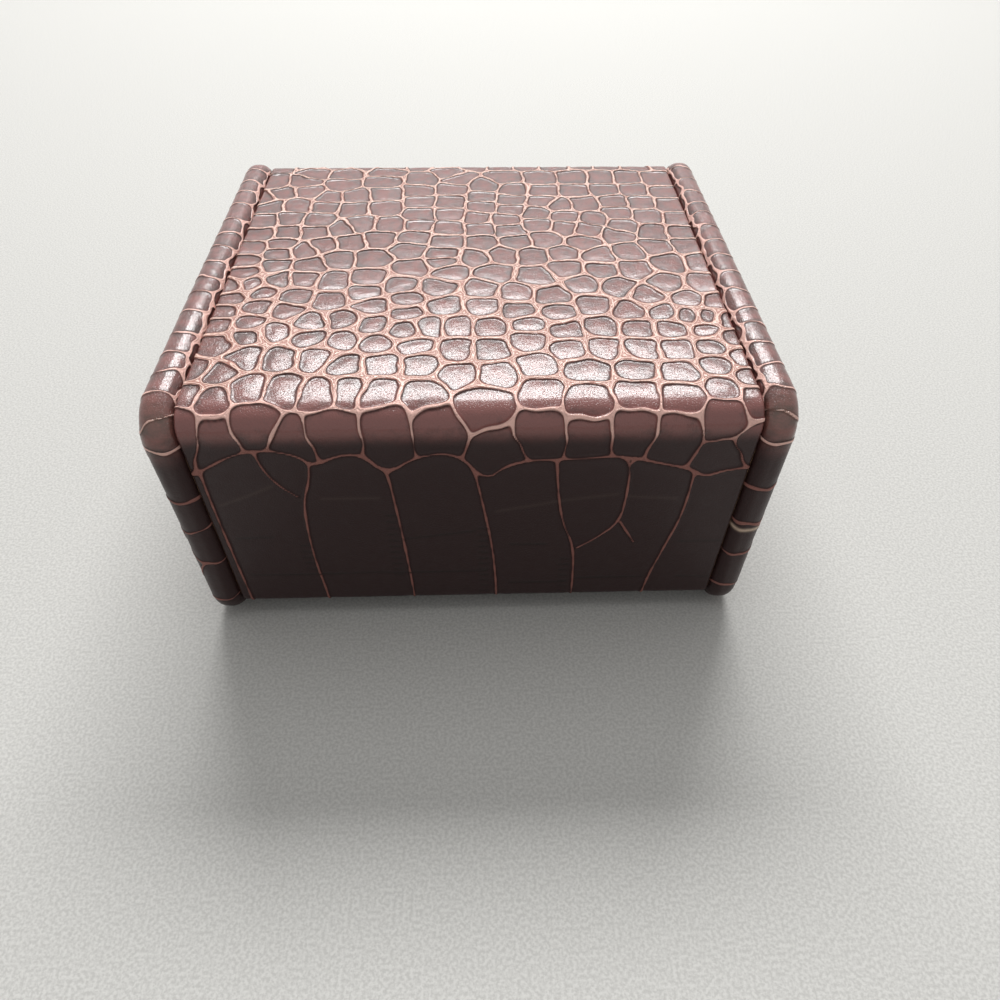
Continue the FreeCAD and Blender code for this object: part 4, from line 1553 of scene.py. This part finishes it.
@dataclass
class HingedCover:
    """One hide that covers the lid, turns down over the hinge and wraps under the body.

    soft_arcs are the radius and the degrees of each arc that leads from the flat top into the
    back edge, and flat_start is the front of the flat top, from the middle. The print is pulled
    up by print_slip over slip_over of the back edge, and squeezed at squeeze_at by squeeze. The
    pitches are the mesh's: near the back edge, far from it, and on the plain turned-in parts.
    """

    half_width: float = 71.15
    edge_roll: float = 0.9
    lid_top: float = 80.0
    lid_low: float = 67.0
    lid_roll: float = 6.5
    soft_arcs: tuple[Point, ...] = ((60.0, 5.0), (10.0, 6.0))
    flat_start: float = 62.0
    print_slip: float = 1.1
    slip_over: float = 13.0
    squeeze: float = 1.0
    squeeze_at: float = 129.0
    squeeze_over: float = 4.0
    lid_half: float = 71.0
    body_low: float = 6.0
    fold_roll: float = 3.0
    turned_under: float = 11.0
    near_from: float = 40.0
    near_pitch: float = 0.35
    far_pitch: float = 0.6
    fold_pitch: float = 0.5
    plain_pitch: float = 1.2
    across_pitch: float = 0.385
    edge_steps: int = 5
    end_pitch: float = 0.9
    end_rows: int = 15
    end_lift: float = 0.06
    end_fade: float = 2.0

    def back_turn(self) -> tuple[tuple[Run, ...], float]:
        """Lead the flat top into the back over ever tighter arcs.

        Returns:
            The arcs, softer ones first, and how far they reach in y.
        """
        tilt, reach, drop, arcs = 0.0, 0.0, 0.0, []
        for radius, degrees in self.soft_arcs:
            turn = math.radians(degrees)
            reach += radius * (math.sin(tilt + turn) - math.sin(tilt))
            drop += radius * (math.cos(tilt) - math.cos(tilt + turn))
            arcs.append(Run(radius * turn, -radius))
            tilt += turn
        last = (self.lid_roll - drop) / math.cos(tilt)
        arcs.append(Run(last * (math.pi / 2 - tilt), -last))
        return tuple(arcs), reach + last * (1 - math.sin(tilt))

    def section(self) -> tuple[Section, float]:
        """Follow the hide from under the lid's front to under the body.

        Its runs are: under the lid, its lower edge, up its front, over its upper edge, along the
        flat top, over the arcs at the back, down the back, round the fold and under the body.

        Returns:
            Its path in y and z, and the distance along it where the print's t is 0.
        """
        arcs, reach = self.back_turn()
        flat = 2 * self.lid_half - self.lid_roll - reach
        runs = (
            Run(self.turned_under - self.edge_roll),
            quarter(-self.edge_roll),
            Run(self.lid_top - self.lid_roll - self.lid_low - self.edge_roll),
            quarter(-self.lid_roll),
            Run(flat),
            *arcs,
            Run(self.lid_top - self.lid_roll - self.body_low - self.fold_roll),
            quarter(-self.fold_roll),
            Run(self.turned_under - self.fold_roll),
        )
        line = Section(runs, (-self.lid_half + self.turned_under, self.lid_low), math.pi)
        return line, float(line.ends[4]) + self.lid_half - self.lid_roll - self.flat_start

    def hide(self) -> CoverMap:
        """Lay out the print, with plain rows where it turns down in front.

        Returns:
            The print over the whole hide.
        """
        # Each row's t, and how far along its first scale starts.
        rows = ((-7, 0.1), (-15, 0.5), (-23.5, 0.2), (-32, 0.6))
        front = centres_in_rows([Row(t, 9.8, -69, 74, shift) for t, shift in rows], 4, 0.1)
        centres = np.concatenate([np.array(SCALES, float), front])
        return CoverMap(centres, (-74, -34), (74, 218), seed=7, crown=0.1)

    def build(self) -> None:
        """Make the hide over the lid and down the hinge, and close the lid's ends."""
        line, zero = self.section()
        ends, fine = line.ends, zero + self.near_from
        far, plain = self.far_pitch, self.plain_pitch
        stretches = (
            (ends[0], ends[1], plain),
            (ends[1], ends[2], self.near_pitch),
            (ends[2], ends[4], far),
            (ends[4], fine, far),
            (fine, ends[-4], self.near_pitch),
            (ends[-4], ends[-3], far),
            (ends[-3], ends[-2], self.fold_pitch),
            (ends[-2], ends[-1], plain),
        )
        along = np.concatenate([*(spread(*stretch)[:-1] for stretch in stretches), ends[-1:]])
        core = self.half_width - self.edge_roll
        flat = spread(-core, core, self.across_pitch)
        turn = np.arange(1, self.edge_steps + 1) * math.pi / 2 / self.edge_steps
        lean = np.concatenate([-turn[::-1], flat * 0, turn])
        middle = np.concatenate([np.full(len(turn), -core), flat, np.full(len(turn), core)])
        x = middle + self.edge_roll * np.sin(lean)
        inset = self.edge_roll * (1 - np.cos(lean))
        reach = middle + self.edge_roll * lean
        points, heading = line.at(along)
        rows, columns = len(along), len(x)
        normal = np.stack([-np.sin(heading), np.cos(heading)], 1)
        out = np.zeros((rows, columns, 3))
        out[..., 0] = np.sin(lean)[None]
        out[..., 1:] = normal[:, None] * np.cos(lean)[None, :, None]
        place = np.zeros((rows, columns, 3))
        place[..., 0] = x[None]
        place[..., 1:] = points[:, None] - normal[:, None] * inset[None, :, None]
        down = along - zero
        down = down - self.print_slip * ease(down, 2 * self.flat_start, self.slip_over)
        past = (down - self.squeeze_at) / self.squeeze_over
        down = down + self.squeeze * np.exp(-(past**2))
        sheet = np.stack(np.broadcast_arrays(-reach[None], down[:, None]), -1).reshape(-1, 2)
        relief = self.hide().relief(sheet)
        fade = np.broadcast_to(np.cos(lean)[None], (rows, columns)).reshape(-1)
        solid = place.reshape(-1, 3) + out.reshape(-1, 3) * (relief.height * fade)[:, None]
        shell = Shell(solid, [grid_faces(rows, columns)], relief.marks(sheet))
        replaced = ("lid_leather", "back_leather")
        cover = piece("lid_and_hinge_cover", [shell], CROC, Slot.CROC, None, replaced)
        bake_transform(cover)
        piece("lid_end_turnings", [self.end(-1), self.end(1)], CROC, Slot.CROC, Body.LID)

    def end(self, side: int) -> Shell:
        """Turn leather down one end of the lid and in under it.

        Args:
            side: -1 or 1, the sign of x.

        Returns:
            The strip.
        """
        reach = self.lid_half - self.edge_roll
        y = spread(-reach, reach, self.end_pitch)
        line = self.section()[0]
        points, heading = line.at(spread(line.ends[3], line.ends[-4], 0.1))
        inside = points - self.edge_roll * np.stack([-np.sin(heading), np.cos(heading)], 1)
        top = np.interp(y, inside[:, 0], inside[:, 1])
        low = self.lid_low + self.edge_roll
        down = np.linspace(0, 1, self.end_rows)
        z = top[:, None] + (low - top)[:, None] * down[None]
        under = Section(
            (quarter(-self.edge_roll), Run(self.turned_under - self.edge_roll)),
            (self.half_width, low),
            -math.pi / 2,
        )
        along = under.stations(self.end_pitch, self.near_pitch)[1:]
        path, heading = under.at(along)
        rows, columns = len(y), len(down) + len(along)
        place = np.zeros((rows, columns, 3))
        place[..., 1] = y[:, None]
        place[:, : len(down), 0], place[:, : len(down), 2] = self.half_width, z
        place[:, len(down) :, 0] = path[:, 0]
        place[:, len(down) :, 2] = path[:, 1] + self.end_lift
        out = np.zeros((rows, columns, 3))
        out[:, : len(down), 0] = 1.0
        out[:, len(down) :, 0] = -np.sin(heading)[None]
        out[:, len(down) :, 2] = np.cos(heading)[None]
        round_under = np.broadcast_to(self.lid_top - low + along, (rows, len(along)))
        arc = np.concatenate([self.lid_top - z, round_under], 1)
        sheet = np.stack(np.broadcast_arrays(y[:, None], arc), -1).reshape(-1, 2)
        tiers = ((-4, 0.0), (5, 0.5), (14, 0.1), (23, 0.6), (31, 0.2))
        tall = [Row(t, 9.5, -72, 74, shift) for t, shift in tiers]
        scales = centres_in_rows(tall, 11 + side, 0.12)
        # The ends take the dark copy of the dye, painted as shade.
        hide = ScaleMap(scales, (-74, -6), (74, 30), seed=3, rise=0.2, deep=0.8)
        relief = hide.relief(sheet)
        fade = ease(arc, (self.lid_top - top)[:, None], self.end_fade).ravel()
        place = place.reshape(-1, 3) + out.reshape(-1, 3) * (relief.height * fade)[:, None]
        place[:, 0] *= side
        shell = Shell(place, [grid_faces(rows, columns)], relief.marks(sheet))
        return shell if side < 0 else shell.flipped()


# A pale split in the leather that crosses the left cheek's rim, on its hide.
RIM_SPLIT = ((69.0, -3.2), (74.0, -2.4), (78.0, -2.8), (84.0, -1.6))


@dataclass
class Cheek:
    """A side panel with a rolled croc-print cover and a suede lining let into its inner face.

    side is the sign of x, worn_at the place on the hide of a pale patch on the corner, a painted
    sheen, and worn_over how far it spreads.
    """

    side: int
    outer: float = 80.0
    thick: float = 8.6
    half_y: float = 73.0
    high: float = 82.0
    corner: float = 11.0
    roll: float = 3.8
    lining: float = 1.0
    worn_at: Point = (73.0, 39.0)
    worn_over: float = 7.0
    split_half: float = 0.5
    turned_in: float = 11.05
    pitch: float = 0.5
    edge_pitch: float = 0.45

    @property
    def name(self) -> str:
        """The cheek's name in the frame."""
        return "left_cheek" if self.side < 0 else "right_cheek"

    def hide(self) -> ScaleMap:
        """Lay out tall scales that cross the rolled edges, smaller ones near the top.

        Returns:
            The print over the whole cover, with painted shade on its upright faces, a painted
            sheen on its corner and a split in the rim.
        """
        rows = [
            Row(54, 9.2, -96, 98, 0.3), Row(42, 9.0, -66, 70, 0.0), Row(30.5, 8.6, -64, 66, 0.5),
            Row(21, 9.0, -64, 66, 0.1), Row(10.5, 9.6, -64, 66, 0.6), Row(-2, 10.4, -64, 66, 0.2),
            Row(-16.5, 11.2, -64, 66, 0.5), Row(-31, 12.0, -64, 66, 0.0),
            Row(-44, 12.5, -64, 70, 0.4), Row(-57, 13.0, -96, 98, 0.0),
        ]
        inside = centres_in_rows(rows, 21 + self.side, 0.2)
        dice = np.random.default_rng(40 + self.side)
        edges = []
        for column, pitch in ((-94, 15), (-76, 14.5), (76, 14.5), (94, 15)):
            for b in np.arange(-36, 38, pitch):
                edges.append((column + dice.uniform(-1, 1), b + dice.uniform(-3.4, 3.4)))
        made = ScaleMap(
            np.concatenate([inside, np.array(edges)]),
            (-92, -60),
            (92, 60),
            seed=31 + self.side,
            reach=26.0,
            crease_half=0.34,
            rise=0.14,
            tilt=0.012,
            bend=0.2,
        )
        # Painted shade: the dark copy of the dye on the cheek's upright faces, easing to the
        # lighter painted copy on its rolled top.
        dark = 0.95 - 0.75 * ease(made.t, 22, 14)
        made.layers["deep"] = np.broadcast_to(dark[:, None], made.layers["deep"].shape).copy()
        # Painted sheen: a pale patch on the front corner of the rim.
        away = np.hypot(made.s[None, :] - self.worn_at[0], made.t[:, None] - self.worn_at[1])
        made.layers["scuff"] = 0.1 * np.exp(-((away / self.worn_over) ** 2))
        if self.side < 0:
            split = made.line_distance(RIM_SPLIT)
            made.layers["scuff"] += np.exp(-((split / self.split_half) ** 2))
        return made

    def build(self) -> None:
        """Make the cover and the lining."""
        flat = self.corner - self.roll
        land = self.thick - 2 * self.roll
        runs = (Run(flat), quarter(self.roll), Run(land), quarter(self.roll), Run(flat - 0.15))
        middle = (self.side * self.outer, 0.0, self.high / 2)
        wrap = Wrap(
            self.half_y,
            self.high / 2,
            self.corner,
            runs,
            self.pitch,
            plane(middle, (0, 1, 0), (0, 0, 1), (-self.side, 0, 0)),
            arc_pitch=self.edge_pitch,
            hide=self.hide(),
        )
        cover, leather = f"{self.name}_cover", f"{self.name}_leather"
        piece(cover, [wrap.shell()], CROC, Slot.CROC, Body.CARCASS, (leather,))
        inner = self.outer - self.thick
        x = sorted((self.side * inner, self.side * (inner + self.lining)))
        y, z = self.half_y - self.turned_in, self.high - self.turned_in
        low, high = (x[0], -y, self.turned_in), (x[1], y, z)
        panel = Pad(low, high, "-x" if self.side > 0 else "+x", soft=0.3)
        suede, lining = f"{self.name}_suede", f"{self.name}_lining"
        piece(suede, [panel.shell()], SUEDE, Slot.SUEDE, Body.CARCASS, (lining,))


@dataclass
class LidInside:
    """The lid's padded lining, and the suede strip that lines the hinge."""

    half_x: float = 59.9
    front: float = -60.0
    rear: float = 58.2
    low: float = 66.35
    high: float = 68.0
    liner_half: float = 64.9
    liner_from: Point = (65.0, 66.4)
    liner_runs: tuple[Run, ...] = (Run(5.2), quarter(0.2), quarter(0.2), Run(12.2))
    ply: float = 0.36
    ply_pitch: float = 0.8
    bend_pitch: float = 0.05
    across_pitch: float = 3.0

    def build(self) -> None:
        """Make both pieces."""
        low, high = (-self.half_x, self.front, self.low), (self.half_x, self.rear, self.high)
        pad = Pad(low, high, "-z", rise=0.65, soft=0.35, pitch=1.6)
        lining = piece("lid_pad", [pad.shell()], SUEDE, Slot.SUEDE, Body.LID, ("lid_lining",))
        line = Section(self.liner_runs, self.liner_from)
        points, heading = line.at(line.stations(self.ply_pitch, self.bend_pitch))
        normal = np.stack([-np.sin(heading), np.cos(heading)], 1) * self.ply / 2
        ring = np.concatenate([points + normal, (points - normal)[::-1]])
        x = spread(-self.liner_half, self.liner_half, self.across_pitch)
        rings = np.zeros((len(x), len(ring), 3))
        rings[..., 0], rings[..., 1:] = x[:, None], ring
        liner = piece(
            "hinge_suede",
            [tube(rings, capped=True)],
            SUEDE,
            Slot.SUEDE,
            None,
            ("hinge_liner_lower", "hinge_liner_upper"),
        )
        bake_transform(liner)


@dataclass
class Tray:
    """Twelve little pads, one on the floor of each compartment."""

    inner_x: float = 69.2
    inner_y: float = 62.8
    wall: float = 2.0
    cross: tuple[float, ...] = (-35.1, 0.0, 35.1)
    long: tuple[float, ...] = (-21.27, 21.27)
    floor: float = 46.0
    top: float = 47.5
    play: float = 0.12

    def bays(self, ends: float, walls: Sequence[float]) -> list[tuple[float, float]]:
        """Find the clear spans between the outer walls and the dividers.

        Args:
            ends: where the outer walls' inner faces are, from the middle.
            walls: the middles of the dividers.

        Returns:
            The two ends of each span, short of the walls by the play.
        """
        starts = [-ends, *(w + self.wall / 2 for w in walls)]
        stops = [*(w - self.wall / 2 for w in walls), ends]
        return [(a + self.play, b - self.play) for a, b in zip(starts, stops)]

    def build(self) -> None:
        """Make the pads as one piece."""
        pads = []
        for x0, x1 in self.bays(self.inner_x, self.cross):
            for y0, y1 in self.bays(self.inner_y, self.long):
                low, high = (x0, y0, self.floor), (x1, y1, self.top)
                pads.append(Pad(low, high, "+z", rise=0.85, soft=0.3, pitch=1.4).shell())
        made = piece("tray_pads", pads, SUEDE, Slot.SUEDE, Body.CARCASS, ("tray_floor_pad",))


@dataclass
class FrontLeather:
    """Croc-print leather over a board that faces the front, turned back round its edges."""

    name: str
    body: Body
    half_x: float
    low: float
    high: float
    replaces: str
    seed: int
    face: float = -71.0
    rear: float = -65.0
    roll: float = 0.9
    corner: float = 1.0
    hide_half: float = 82.0
    turned: float = 12.0
    pitch: float = 0.62
    edge_pitch: float = 0.35

    def hide(self) -> ScaleMap:
        """Lay out two or three rows of belly tiles, and the turnings.

        Returns:
            The print over the whole leather.
        """
        half_b = (self.high - self.low) / 2
        rows = []
        steps = 2 if half_b < 15 else 3
        height = 2 * half_b / steps
        for number in range(-1, steps + 1):
            across, width = -half_b + height * (number + 0.5), 10.5 + 1.2 * (number % 2)
            start, stop = -self.hide_half - 2, self.hide_half + 4
            rows.append(Row(across, width, start, stop, 0.35 * number % 1))
        return ScaleMap(
            centres_in_rows(rows, self.seed, 0.14),
            (-self.hide_half, -half_b - self.turned),
            (self.hide_half, half_b + self.turned),
            seed=self.seed,
            reach=24.0,
            crease_half=0.36,
            rise=0.2,
            tilt=0.012,
            # The dark copy of the dye, painted as shade, as down the back.
            deep=0.92,
        )

    def build(self) -> None:
        """Make the leather."""
        depth = self.rear - self.face
        runs = (Run(0.1), quarter(self.roll), Run(depth - self.roll))
        middle = (0.0, self.face, (self.low + self.high) / 2)
        wrap = Wrap(
            self.half_x,
            (self.high - self.low) / 2,
            self.corner,
            runs,
            self.pitch,
            plane(middle, (1, 0, 0), (0, 0, 1), (0, 1, 0)),
            arc_pitch=self.edge_pitch,
            hide=self.hide(),
        )
        piece(self.name, [wrap.shell()], CROC, Slot.CROC, self.body, (self.replaces,))


@dataclass
class StitchedTab:
    """A pull tab of two glued and stitched plies that comes out of a slot and hangs.

    runs, start and heading are its bent line in y and z, tip the rounding of its corners, and
    margin how far the seam is from its edge. Each stitch is turned by slant, in radians, and
    the seam starts bare_root of the length before the tab's middle. A stitch has so many rings
    of so many sides.
    """

    name: str
    body: Body
    replaces: str
    runs: tuple[Run, ...]
    start: Point
    heading: float
    wide: float = 18.0
    thick: float = 1.4
    tip: float = 6.0
    edge: float = 0.35
    margin: float = 2.2
    stitch: float = 2.3
    gap: float = 0.9
    thread: float = 0.28
    slant: float = 0.12
    bare_root: float = 0.12
    rings: int = 9
    sides: int = 8
    pitch: float = 0.5
    edge_pitch: float = 0.15

    def bend(self) -> Place:
        """Bend flat leather to its place; b runs along the tab from its root.

        Returns:
            A function that takes points of the flat tab to the row frame.
        """
        line = Section(self.runs, self.start, self.heading)

        def put(points: np.ndarray) -> np.ndarray:
            """Follow the bent line and step off it by the depth.

            Args:
                points: places on the flat tab.

            Returns:
                The same places in the row frame.
            """
            along = np.clip(points[:, 1] + line.length / 2, 0, line.length)
            spot, turn = line.at(along)
            lift = (self.thick / 2 - points[:, 2])[:, None]
            spot = spot + np.stack([np.sin(turn), -np.cos(turn)], 1) * lift
            return np.column_stack([points[:, 0], spot])

        return put

    def seam(self, length: float) -> list[tuple[np.ndarray, np.ndarray]]:
        """Space the stitches in two rows that meet round the tip.

        Args:
            length: the tab's flat length.

        Returns:
            The middle and the direction of each stitch, on the flat tab.
        """
        half = self.wide / 2 - self.margin
        round_tip = self.tip - self.margin
        root = length * self.bare_root
        row, turn = Run(length / 2 - self.tip + root), quarter(-round_tip)
        runs = (row, turn, Run(2 * (half - round_tip)), turn, row)
        line = Section(runs, (-half, -root), math.pi / 2)
        count = int(line.length // (self.stitch + self.gap))
        spots, turns = line.at((np.arange(count) + 0.5) * line.length / count)
        turns = turns + self.slant
        return list(zip(spots, np.stack([np.cos(turns), np.sin(turns)], 1)))

    def stitches(self, length: float, put: Place) -> list[Shell]:
        """Lay short rounded lengths of thread, half sunk in the leather, on both faces.

        Args:
            length: the tab's flat length.
            put: takes the flat tab to its bent place.

        Returns:
            The stitches.
        """
        made = []
        along = np.linspace(-1, 1, self.rings)
        thick = np.sqrt(np.clip(1 - along**6, 0, 1)) * self.thread
        sink = self.thread * 1.3 * along**2
        turn = np.arange(self.sides) * 2 * math.pi / self.sides
        sideways, upwards = (thick[:, None] * f(turn) for f in (np.cos, np.sin))
        for middle, way in self.seam(length):
            side = np.array([-way[1], way[0]])
            flat = (
                middle
                + way * (along * self.stitch / 2)[:, None, None]
                + side * sideways[..., None]
            )
            for face, up in ((0.0, -1.0), (self.thick, 1.0)):
                level = face + up * (upwards + 0.1 - sink[:, None])
                rings = np.concatenate([flat, level[..., None]], -1)
                skin = tube(put(rings.reshape(-1, 3)).reshape(rings.shape))
                made.append(skin if up < 0 else skin.flipped())
        return made

    def build(self) -> None:
        """Make the tab and its stitches."""
        length = Section(self.runs).length
        flat, turn = self.tip - self.edge, quarter(self.edge)
        runs = (Run(flat), turn, Run(self.thick - 2 * self.edge), turn, Run(flat - 0.2))
        put = self.bend()
        half_a, half_b = self.wide / 2, length / 2
        face = Wrap(half_a, half_b, self.tip, runs, self.pitch, put, arc_pitch=self.edge_pitch)
        plies = [face.shell(), self.back_ply(length, put)]
        piece(f"{self.name}_strap", plies, STRAP, Slot.STRAP, self.body, (self.replaces,))
        stitches = self.stitches(length, put)
        piece(f"{self.name}_stitches", stitches, THREAD, Slot.STRAP, self.body)

    def back_ply(self, length: float, put: Place) -> Shell:
        """Close the middle of the tab's back face.

        Args:
            length: the tab's flat length.
            put: takes the flat tab to its bent place.

        Returns:
            The missing middle of the face.
        """
        half_a, half_b = self.wide / 2 - self.tip, length / 2 - self.tip
        a, b = (spread(-half, half, self.pitch) for half in (half_a, half_b))
        grid = np.stack(np.meshgrid(a, b), -1).reshape(-1, 2)
        local = np.column_stack([grid, np.full(len(grid), self.thick)])
        return Shell(put(local), [grid_faces(len(b), len(a))], on_hide(grid))


@dataclass
class Linings:
    """Suede in the drawer and under it, and the felt that the box stands over.

    card is how thick a wall's suede is, rim the height of its top, floor the top of the
    drawer's bottom, and divider the middle of its divider. play is left round each pad.
    """

    bay_x: float = 71.4
    bay_play: float = 0.05
    bay_front: float = -64.65
    bay_rear: float = 64.95
    bay_floor: float = 12.0
    bay_ply: float = 0.8
    felt_rear: float = 59.8
    felt_low: float = 6.0
    felt_ply: float = 1.0
    drawer_x: float = 67.6
    card: float = 1.0
    rim: float = 36.0
    floor: float = 17.1
    pad: float = 1.0
    play: float = 0.1
    divider: float = 8.0
    divider_half: float = 1.0
    front: float = -65.0
    rear: float = 57.0

    def build(self) -> None:
        """Make the bay's lining, the felt, and the drawer's floor pad and walls."""
        x, top = self.bay_x - self.bay_play, self.bay_floor + self.bay_ply
        low, high = (-x, self.bay_front, self.bay_floor), (x, self.bay_rear, top)
        bay = Pad(low, high, "+z", soft=0.25)
        piece("bay_suede", [bay.shell()], SUEDE, Slot.SUEDE, Body.CARCASS, ("bay_lining",))
        top = self.felt_low + self.felt_ply
        low, high = (-x, self.bay_front, self.felt_low), (x, self.felt_rear, top)
        felt = Pad(low, high, "-z", soft=0.35)
        piece("base_felt", [felt.shell()], FELT, Slot.FELT, Body.CARCASS, ("base_cover",))
        inner = self.drawer_x - self.card
        front, rear = self.front + self.card, self.rear - self.card
        pads, x, top = [], inner - self.play, self.floor + self.pad
        middle, half = self.divider, self.divider_half
        for start, stop in ((front, middle - half), (middle + half, rear)):
            low, high = (-x, start + self.play, self.floor), (x, stop - self.play, top)
            pads.append(Pad(low, high, "+z", rise=0.45, soft=0.2, pitch=1.8).shell())
        floor = piece(
            "drawer_floor_pads", pads, SUEDE, Slot.SUEDE, Body.DRAWER, ("drawer_lining",)
        )
        side = self.drawer_x
        walls = [
            Pad((x0, y0, self.floor), (x1, y1, self.rim), facing).shell()
            for x0, y0, x1, y1, facing in (
                (-side, front, -inner, rear, "+x"),
                (inner, front, side, rear, "-x"),
                (-side, self.front, side, front, "+y"),
                (-side, rear, side, self.rear, "-y"),
            )
        ]
        piece("drawer_wall_suede", walls, SUEDE, Slot.SUEDE, Body.DRAWER)


@dataclass
class Studio:
    """Floor, lights and camera; none of it is part of the box.

    camera_turn is its turn about z, its tilt and its roll in degrees, ambient how bright the
    world is as a lamp, and target the height that the lights face.
    """

    floor_half: float = 4000.0
    camera_at: tuple[float, float, float] = (-1.607, 205.348, 194.778)
    camera_turn: tuple[float, float, float] = (180 - 2.217, 90 - 47.057, 0.666)
    lens: float = 26.735
    target: float = 40.0
    ambient: float = 0.24
    backdrop: str = "#e9e8e6"

    def build(self) -> None:
        """Set the stage."""
        half = self.floor_half
        corners = np.array([[-half, -half, 0], [half, -half, 0], [half, half, 0], [-half, half, 0]])
        floor = make_object("studio_floor", Shell(corners, [np.array([[0, 1, 2, 3]])]))
        floor.data.materials.append(FLOOR.material())
        for name, elevation, azimuth, far, size, power, mirrored in (
            ("key_softbox", 45.6, 183.0, 2000.0, (1467.0, 560.0), 44.0, True),
            ("top_softbox", 85.0, 180.0, 900.0, (900.0, 700.0), 2.2, False),
            ("fill_softbox", 35.0, -20.0, 1500.0, (1000.0, 1000.0), 1.0, False),
        ):
            made = self.light(name, elevation, azimuth, far, size, power)
            made.visible_glossy = mirrored
        self.sky()
        self.camera()
        bpy.context.scene.view_settings.view_transform = "Standard"

    def light(
        self,
        name: str,
        elevation: float,
        azimuth: float,
        far: float,
        size: Point,
        power: float,
    ) -> bpy.types.Object:
        """Add a softbox that faces the box.

        Args:
            name: its name.
            elevation: degrees above the floor.
            azimuth: degrees from +Y, turning towards +X.
            far: distance from the box, in millimetres.
            size: its width and height, in millimetres.
            power: watts.

        Returns:
            The lamp.
        """
        lamp = bpy.data.lights.new(name, "AREA")
        lamp.shape, lamp.energy = "RECTANGLE", power
        lamp.size, lamp.size_y = size[0] * MM, size[1] * MM
        made = bpy.data.objects.new(name, lamp)
        bpy.context.scene.collection.objects.link(made)
        up, turn = math.radians(elevation), math.radians(azimuth)
        way = Vector((math.sin(turn) * math.cos(up), math.cos(turn) * math.cos(up), math.sin(up)))
        made.location = Vector((0, 0, self.target * MM)) + way * far * MM
        made.rotation_euler = way.to_track_quat("Z", "Y").to_euler()
        return made

    def sky(self) -> None:
        """An even pale world, dimmer as a lamp than as a backdrop."""
        world = bpy.data.worlds.new("studio_sky")
        bpy.context.scene.world = world
        world.use_nodes = True
        tree = world.node_tree
        tree.nodes.clear()
        path = add_node(tree, "LightPath").node.outputs
        seen = path["Is Camera Ray"]
        for ray in ("Is Glossy Ray", "Is Transmission Ray"):
            seen = add_node(tree, "Math", (seen, path[ray]), operation="MAXIMUM")
        colour = dyed(tree, (self.ambient,) * 3 + (1.0,), (seen, self.backdrop))
        back = add_node(tree, "Background", {"Color": colour, "Strength": 1.0})
        add_node(tree, "OutputWorld", {"Surface": back})

    def camera(self) -> None:
        """Put the camera above and behind the box, looking down at the hinge side."""
        lens = bpy.data.cameras.new("studio_camera")
        lens.lens, lens.sensor_width, lens.clip_start = self.lens, 36.0, 0.01
        made = bpy.data.objects.new("studio_camera", lens)
        bpy.context.scene.collection.objects.link(made)
        pose = Matrix.Translation(Vector(self.camera_at) * MM)
        for angle, axis in zip(self.camera_turn, "ZXZ"):
            pose = pose @ Matrix.Rotation(math.radians(angle), 4, axis)
        made.matrix_world = pose
        bpy.context.scene.camera = made


def dress_frame() -> None:
    """Give every CAD node the finish of its record slot."""
    slots = {s.value: s for s in Slot}
    for name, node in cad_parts.items():
        finish = NODE_FINISHES[slots[node.data.materials[0].name.split(".")[0]]]
        node.data.materials.clear()
        node.data.materials.append(finish.material())
        log.info("%s: %s", name, finish.name)


def main() -> None:
    """Build the box's looks, then the studio."""
    logging.basicConfig(level=logging.INFO, format="%(message)s")
    dress_frame()
    HingedCover().build()
    for side in (-1, 1):
        Cheek(side).build()
    LidInside().build()
    Tray().build()
    for name, body, half_x, low, high, leather, seed in (
        ("front_panel_cover", Body.CARCASS, 71.35, 40.5, 66.7, "front_panel_leather", 51),
        ("drawer_front_cover", Body.DRAWER, 70.8, 6.5, 40.0, "drawer_front_leather", 52),
    ):
        FrontLeather(name, body, half_x, low, high, leather, seed).build()
    StitchedTab(
        "lid_pull",
        Body.LID,
        "lid_pull_tab",
        (Run(13.1), quarter(1.1), Run(13.6)),
        (-58.0, 70.7),
        math.pi,
    ).build()
    StitchedTab(
        "drawer_pull",
        Body.DRAWER,
        "drawer_pull_tab",
        (Run(7.0), quarter(0.7), Run(4.7), quarter(1.1), Run(13.6)),
        (-65.7, 24.0),
        math.pi / 2,
    ).build()
    Linings().build()
    Studio().build()


if __name__ == "__main__":
    main()
